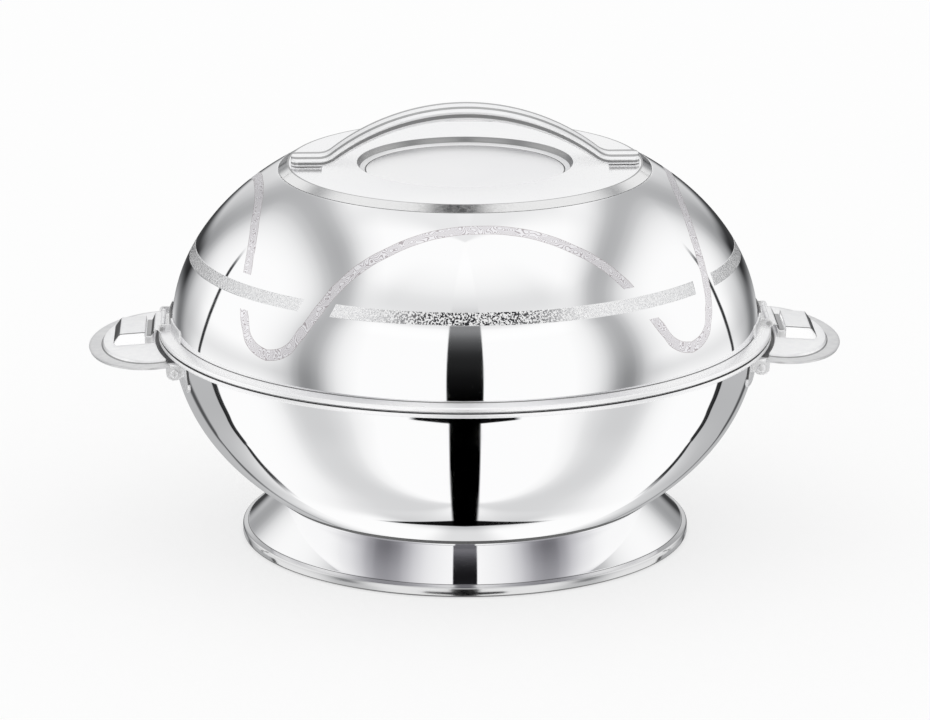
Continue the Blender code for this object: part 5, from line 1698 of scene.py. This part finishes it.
# %% A finish for the cheeks
def ground_steel(name, outwards, upwards):
    """Cheeks that were ground a little out of square, so they face away from the gap of the tent."""
    made = bpy.data.materials.new(name)
    made.use_nodes = True
    bench = NodeBench(made.node_tree)
    place = bench.add("ShaderNodeTexCoord").outputs["Object"]
    parts = bench.add("ShaderNodeSeparateXYZ")
    bench.feed(parts.inputs[0], place)
    ramp = bench.calc("ADD", bench.calc("MULTIPLY", bench.calc("ABSOLUTE", parts.outputs[0]), -outwards),
                      bench.calc("MULTIPLY", parts.outputs[2], -upwards))
    marks = bench.calc("MULTIPLY", bench.noise(place, 900.0, 2.0), 0.01 * mm)
    bump = bench.add("ShaderNodeBump")
    bump.inputs["Distance"].default_value = 1.0
    bench.feed(bump.inputs["Height"], bench.calc("ADD", ramp, marks))
    metal = bench.add("ShaderNodeBsdfPrincipled")
    metal.inputs["Metallic"].default_value = 1.0
    metal.inputs["Base Color"].default_value = (1.0, 1.0, 1.0, 1.0)
    bench.feed(metal.inputs["Roughness"], bench.ease(bench.noise(place, 300.0, 2.0), 0.3, 0.7, 0.18, 0.24))
    bench.feed(metal.inputs["Normal"], bump.outputs[0])
    bench.feed(bench.add("ShaderNodeOutputMaterial").inputs["Surface"], metal.outputs[0])
    return made


cheek_steel = ground_steel("cheek_steel", outwards=0.30, upwards=0.20)
print("cheek material nodes:", len(cheek_steel.node_tree.nodes))

# %% Shape of the catch
catch_start, roof_end, catch_end = 6.0, 16.9, 21.4
catch_half = 13.7
catch_top = 5.6
floor_start = 11.5


def catch_mesh():
    low = joint_gap
    slope = (catch_end - roof_end) / (catch_top - low)
    shell = [(catch_start, low, 0.0), (catch_end, low, 1.2), (roof_end, catch_top, 1.4),
             (catch_start, catch_top, 0.0)]
    body = prism(rounded(shell), -catch_half, catch_half)
    shift = sheet * math.hypot(1.0, slope)
    floor, roof = low + sheet, catch_top - sheet
    cavity = [(catch_start - 2.0, low - 2.0), (floor_start, low - 2.0), (floor_start, floor),
              (catch_end - slope * sheet - shift, floor), (roof_end + slope * sheet - shift, roof),
              (catch_start - 2.0, roof)]
    hollow = bpy.data.objects.new("hollow", prism(cavity, -catch_half + sheet, catch_half - sheet))
    bpy.context.scene.collection.objects.link(hollow)
    carve = ("BOOLEAN", {"object": hollow, "operation": "DIFFERENCE", "solver": "EXACT"})
    cut = settled("catch", body, carve)
    bpy.data.objects.remove(hollow)
    return smooth_again(settled("catch", cut, softened(0.45, 4, 40.0)))


catch_box = catch_mesh()
# The sloping thumb face and the folds along the roof get painted shade.
for face in catch_box.polygons:
    level = face.center.z / mm
    thumb_face = face.normal.x > 0.45 and face.normal.z > 0.2
    folded = 0.4 < abs(face.normal.y) < 0.93 and level > 4.7
    cheek = abs(face.normal.y) > 0.8 and level < 5.0
    face.material_index = finish_for((thumb_face, 1), (folded, 3), (cheek, 2))
print("catch faces:", len(catch_box.polygons))

# %% [markdown]
# Two studs under each catch run in slots of the side handle and hold the catch down. The catch covers
# the slots at every place, so they are cut in the CAD plate but not in the one drawn here.

# %% Catches with their studs
stud_place = 15.2
stud_apart = 6.5
stud_outline = [(0.0, 2.2), (2.2, 2.2, 0.35), (2.6, 1.4, 0.2), (1.6, 1.4), (1.6, -1.3), (3.6, -1.3, 0.2),
                (3.6, -2.1, 0.3), (0.0, -2.1)]
stud_mesh = turned_part("stud", stud_outline)
catch_steel = satin_steel(
    "catch_steel", tone=0.93, dull=0.36, grain=(400.0, 400.0, 400.0), streak=0.04, metallic=0.7)
# A dark satin, painted shade for the sloping thumb face.
painted_thumb_shade = satin_steel("painted_thumb_shade", tone=0.34, dull=0.26, grain=(400.0, 30.0, 400.0), streak=0.2)
for word, side in (("left", -1), ("right", 1)):
    body = word + "_catch"
    mesh = catch_box.copy()
    mesh.transform(on_grip(side))
    fit(word + "_catch_box", mesh, [catch_steel, painted_thumb_shade, cheek_steel, painted_shade_steel], body,
        [word + "_catch"], mirrored=False)
    for end, sign in (("front", -1), ("back", 1)):
        mesh = stud_mesh.copy()
        mesh.transform(
            on_grip(side) @ Matrix.Translation((stud_place * mm, side * sign * stud_apart * mm, 0.0)))
        fit(word + "_" + end + "_catch_stud", mesh, [hardware_steel], body, [word + "_" + end + "_stud"],
            mirrored=False)
print("catches placed")

# %% [markdown]
# A rivet holds each ear of a side handle to the wing of its bracket, with a domed head outside and a
# flat one inside.

# %% Rivets of the side handles
rivet_outline = [(0.0, ear_face - 3.7), (1.7, ear_face - 3.7, 0.3),
                 (2.1, ear_face - 2.9, 0.1), (1.1, ear_face - 2.9), (1.1, ear_face + 0.3),
                 (2.0, ear_face + 0.3, 0.1), (1.4, ear_face + 0.75, 0.8), (0.0, ear_face + 0.85)]
rivet_mesh = turned_part("rivet", rivet_outline)
for word, side in (("left", -1), ("right", 1)):
    for end, sign in (("front", -1), ("back", 1)):
        mesh = rivet_mesh.copy()
        place = Matrix.Translation((side * (grip_root + rivet_x) * mm, 0.0, (grip_height + rivet_z) * mm))
        mesh.transform(place @ Matrix.Rotation(-sign * math.pi / 2, 4, "X"))
        fit(word + "_" + end + "_handle_rivet", mesh, [fitting_steel], "base",
            [word + "_" + end + "_rivet"], mirrored=False)
print("rivets placed")

# %% [markdown]
# ## The size of the visual model
#
# The box round the visual model is measured and its size printed in mm. The visual model has to stay
# inside the CAD model's box.

# %% Print the size of the visual model
low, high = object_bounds()
print("visual box in mm:", [round(v / mm, 1) for v in high - low])
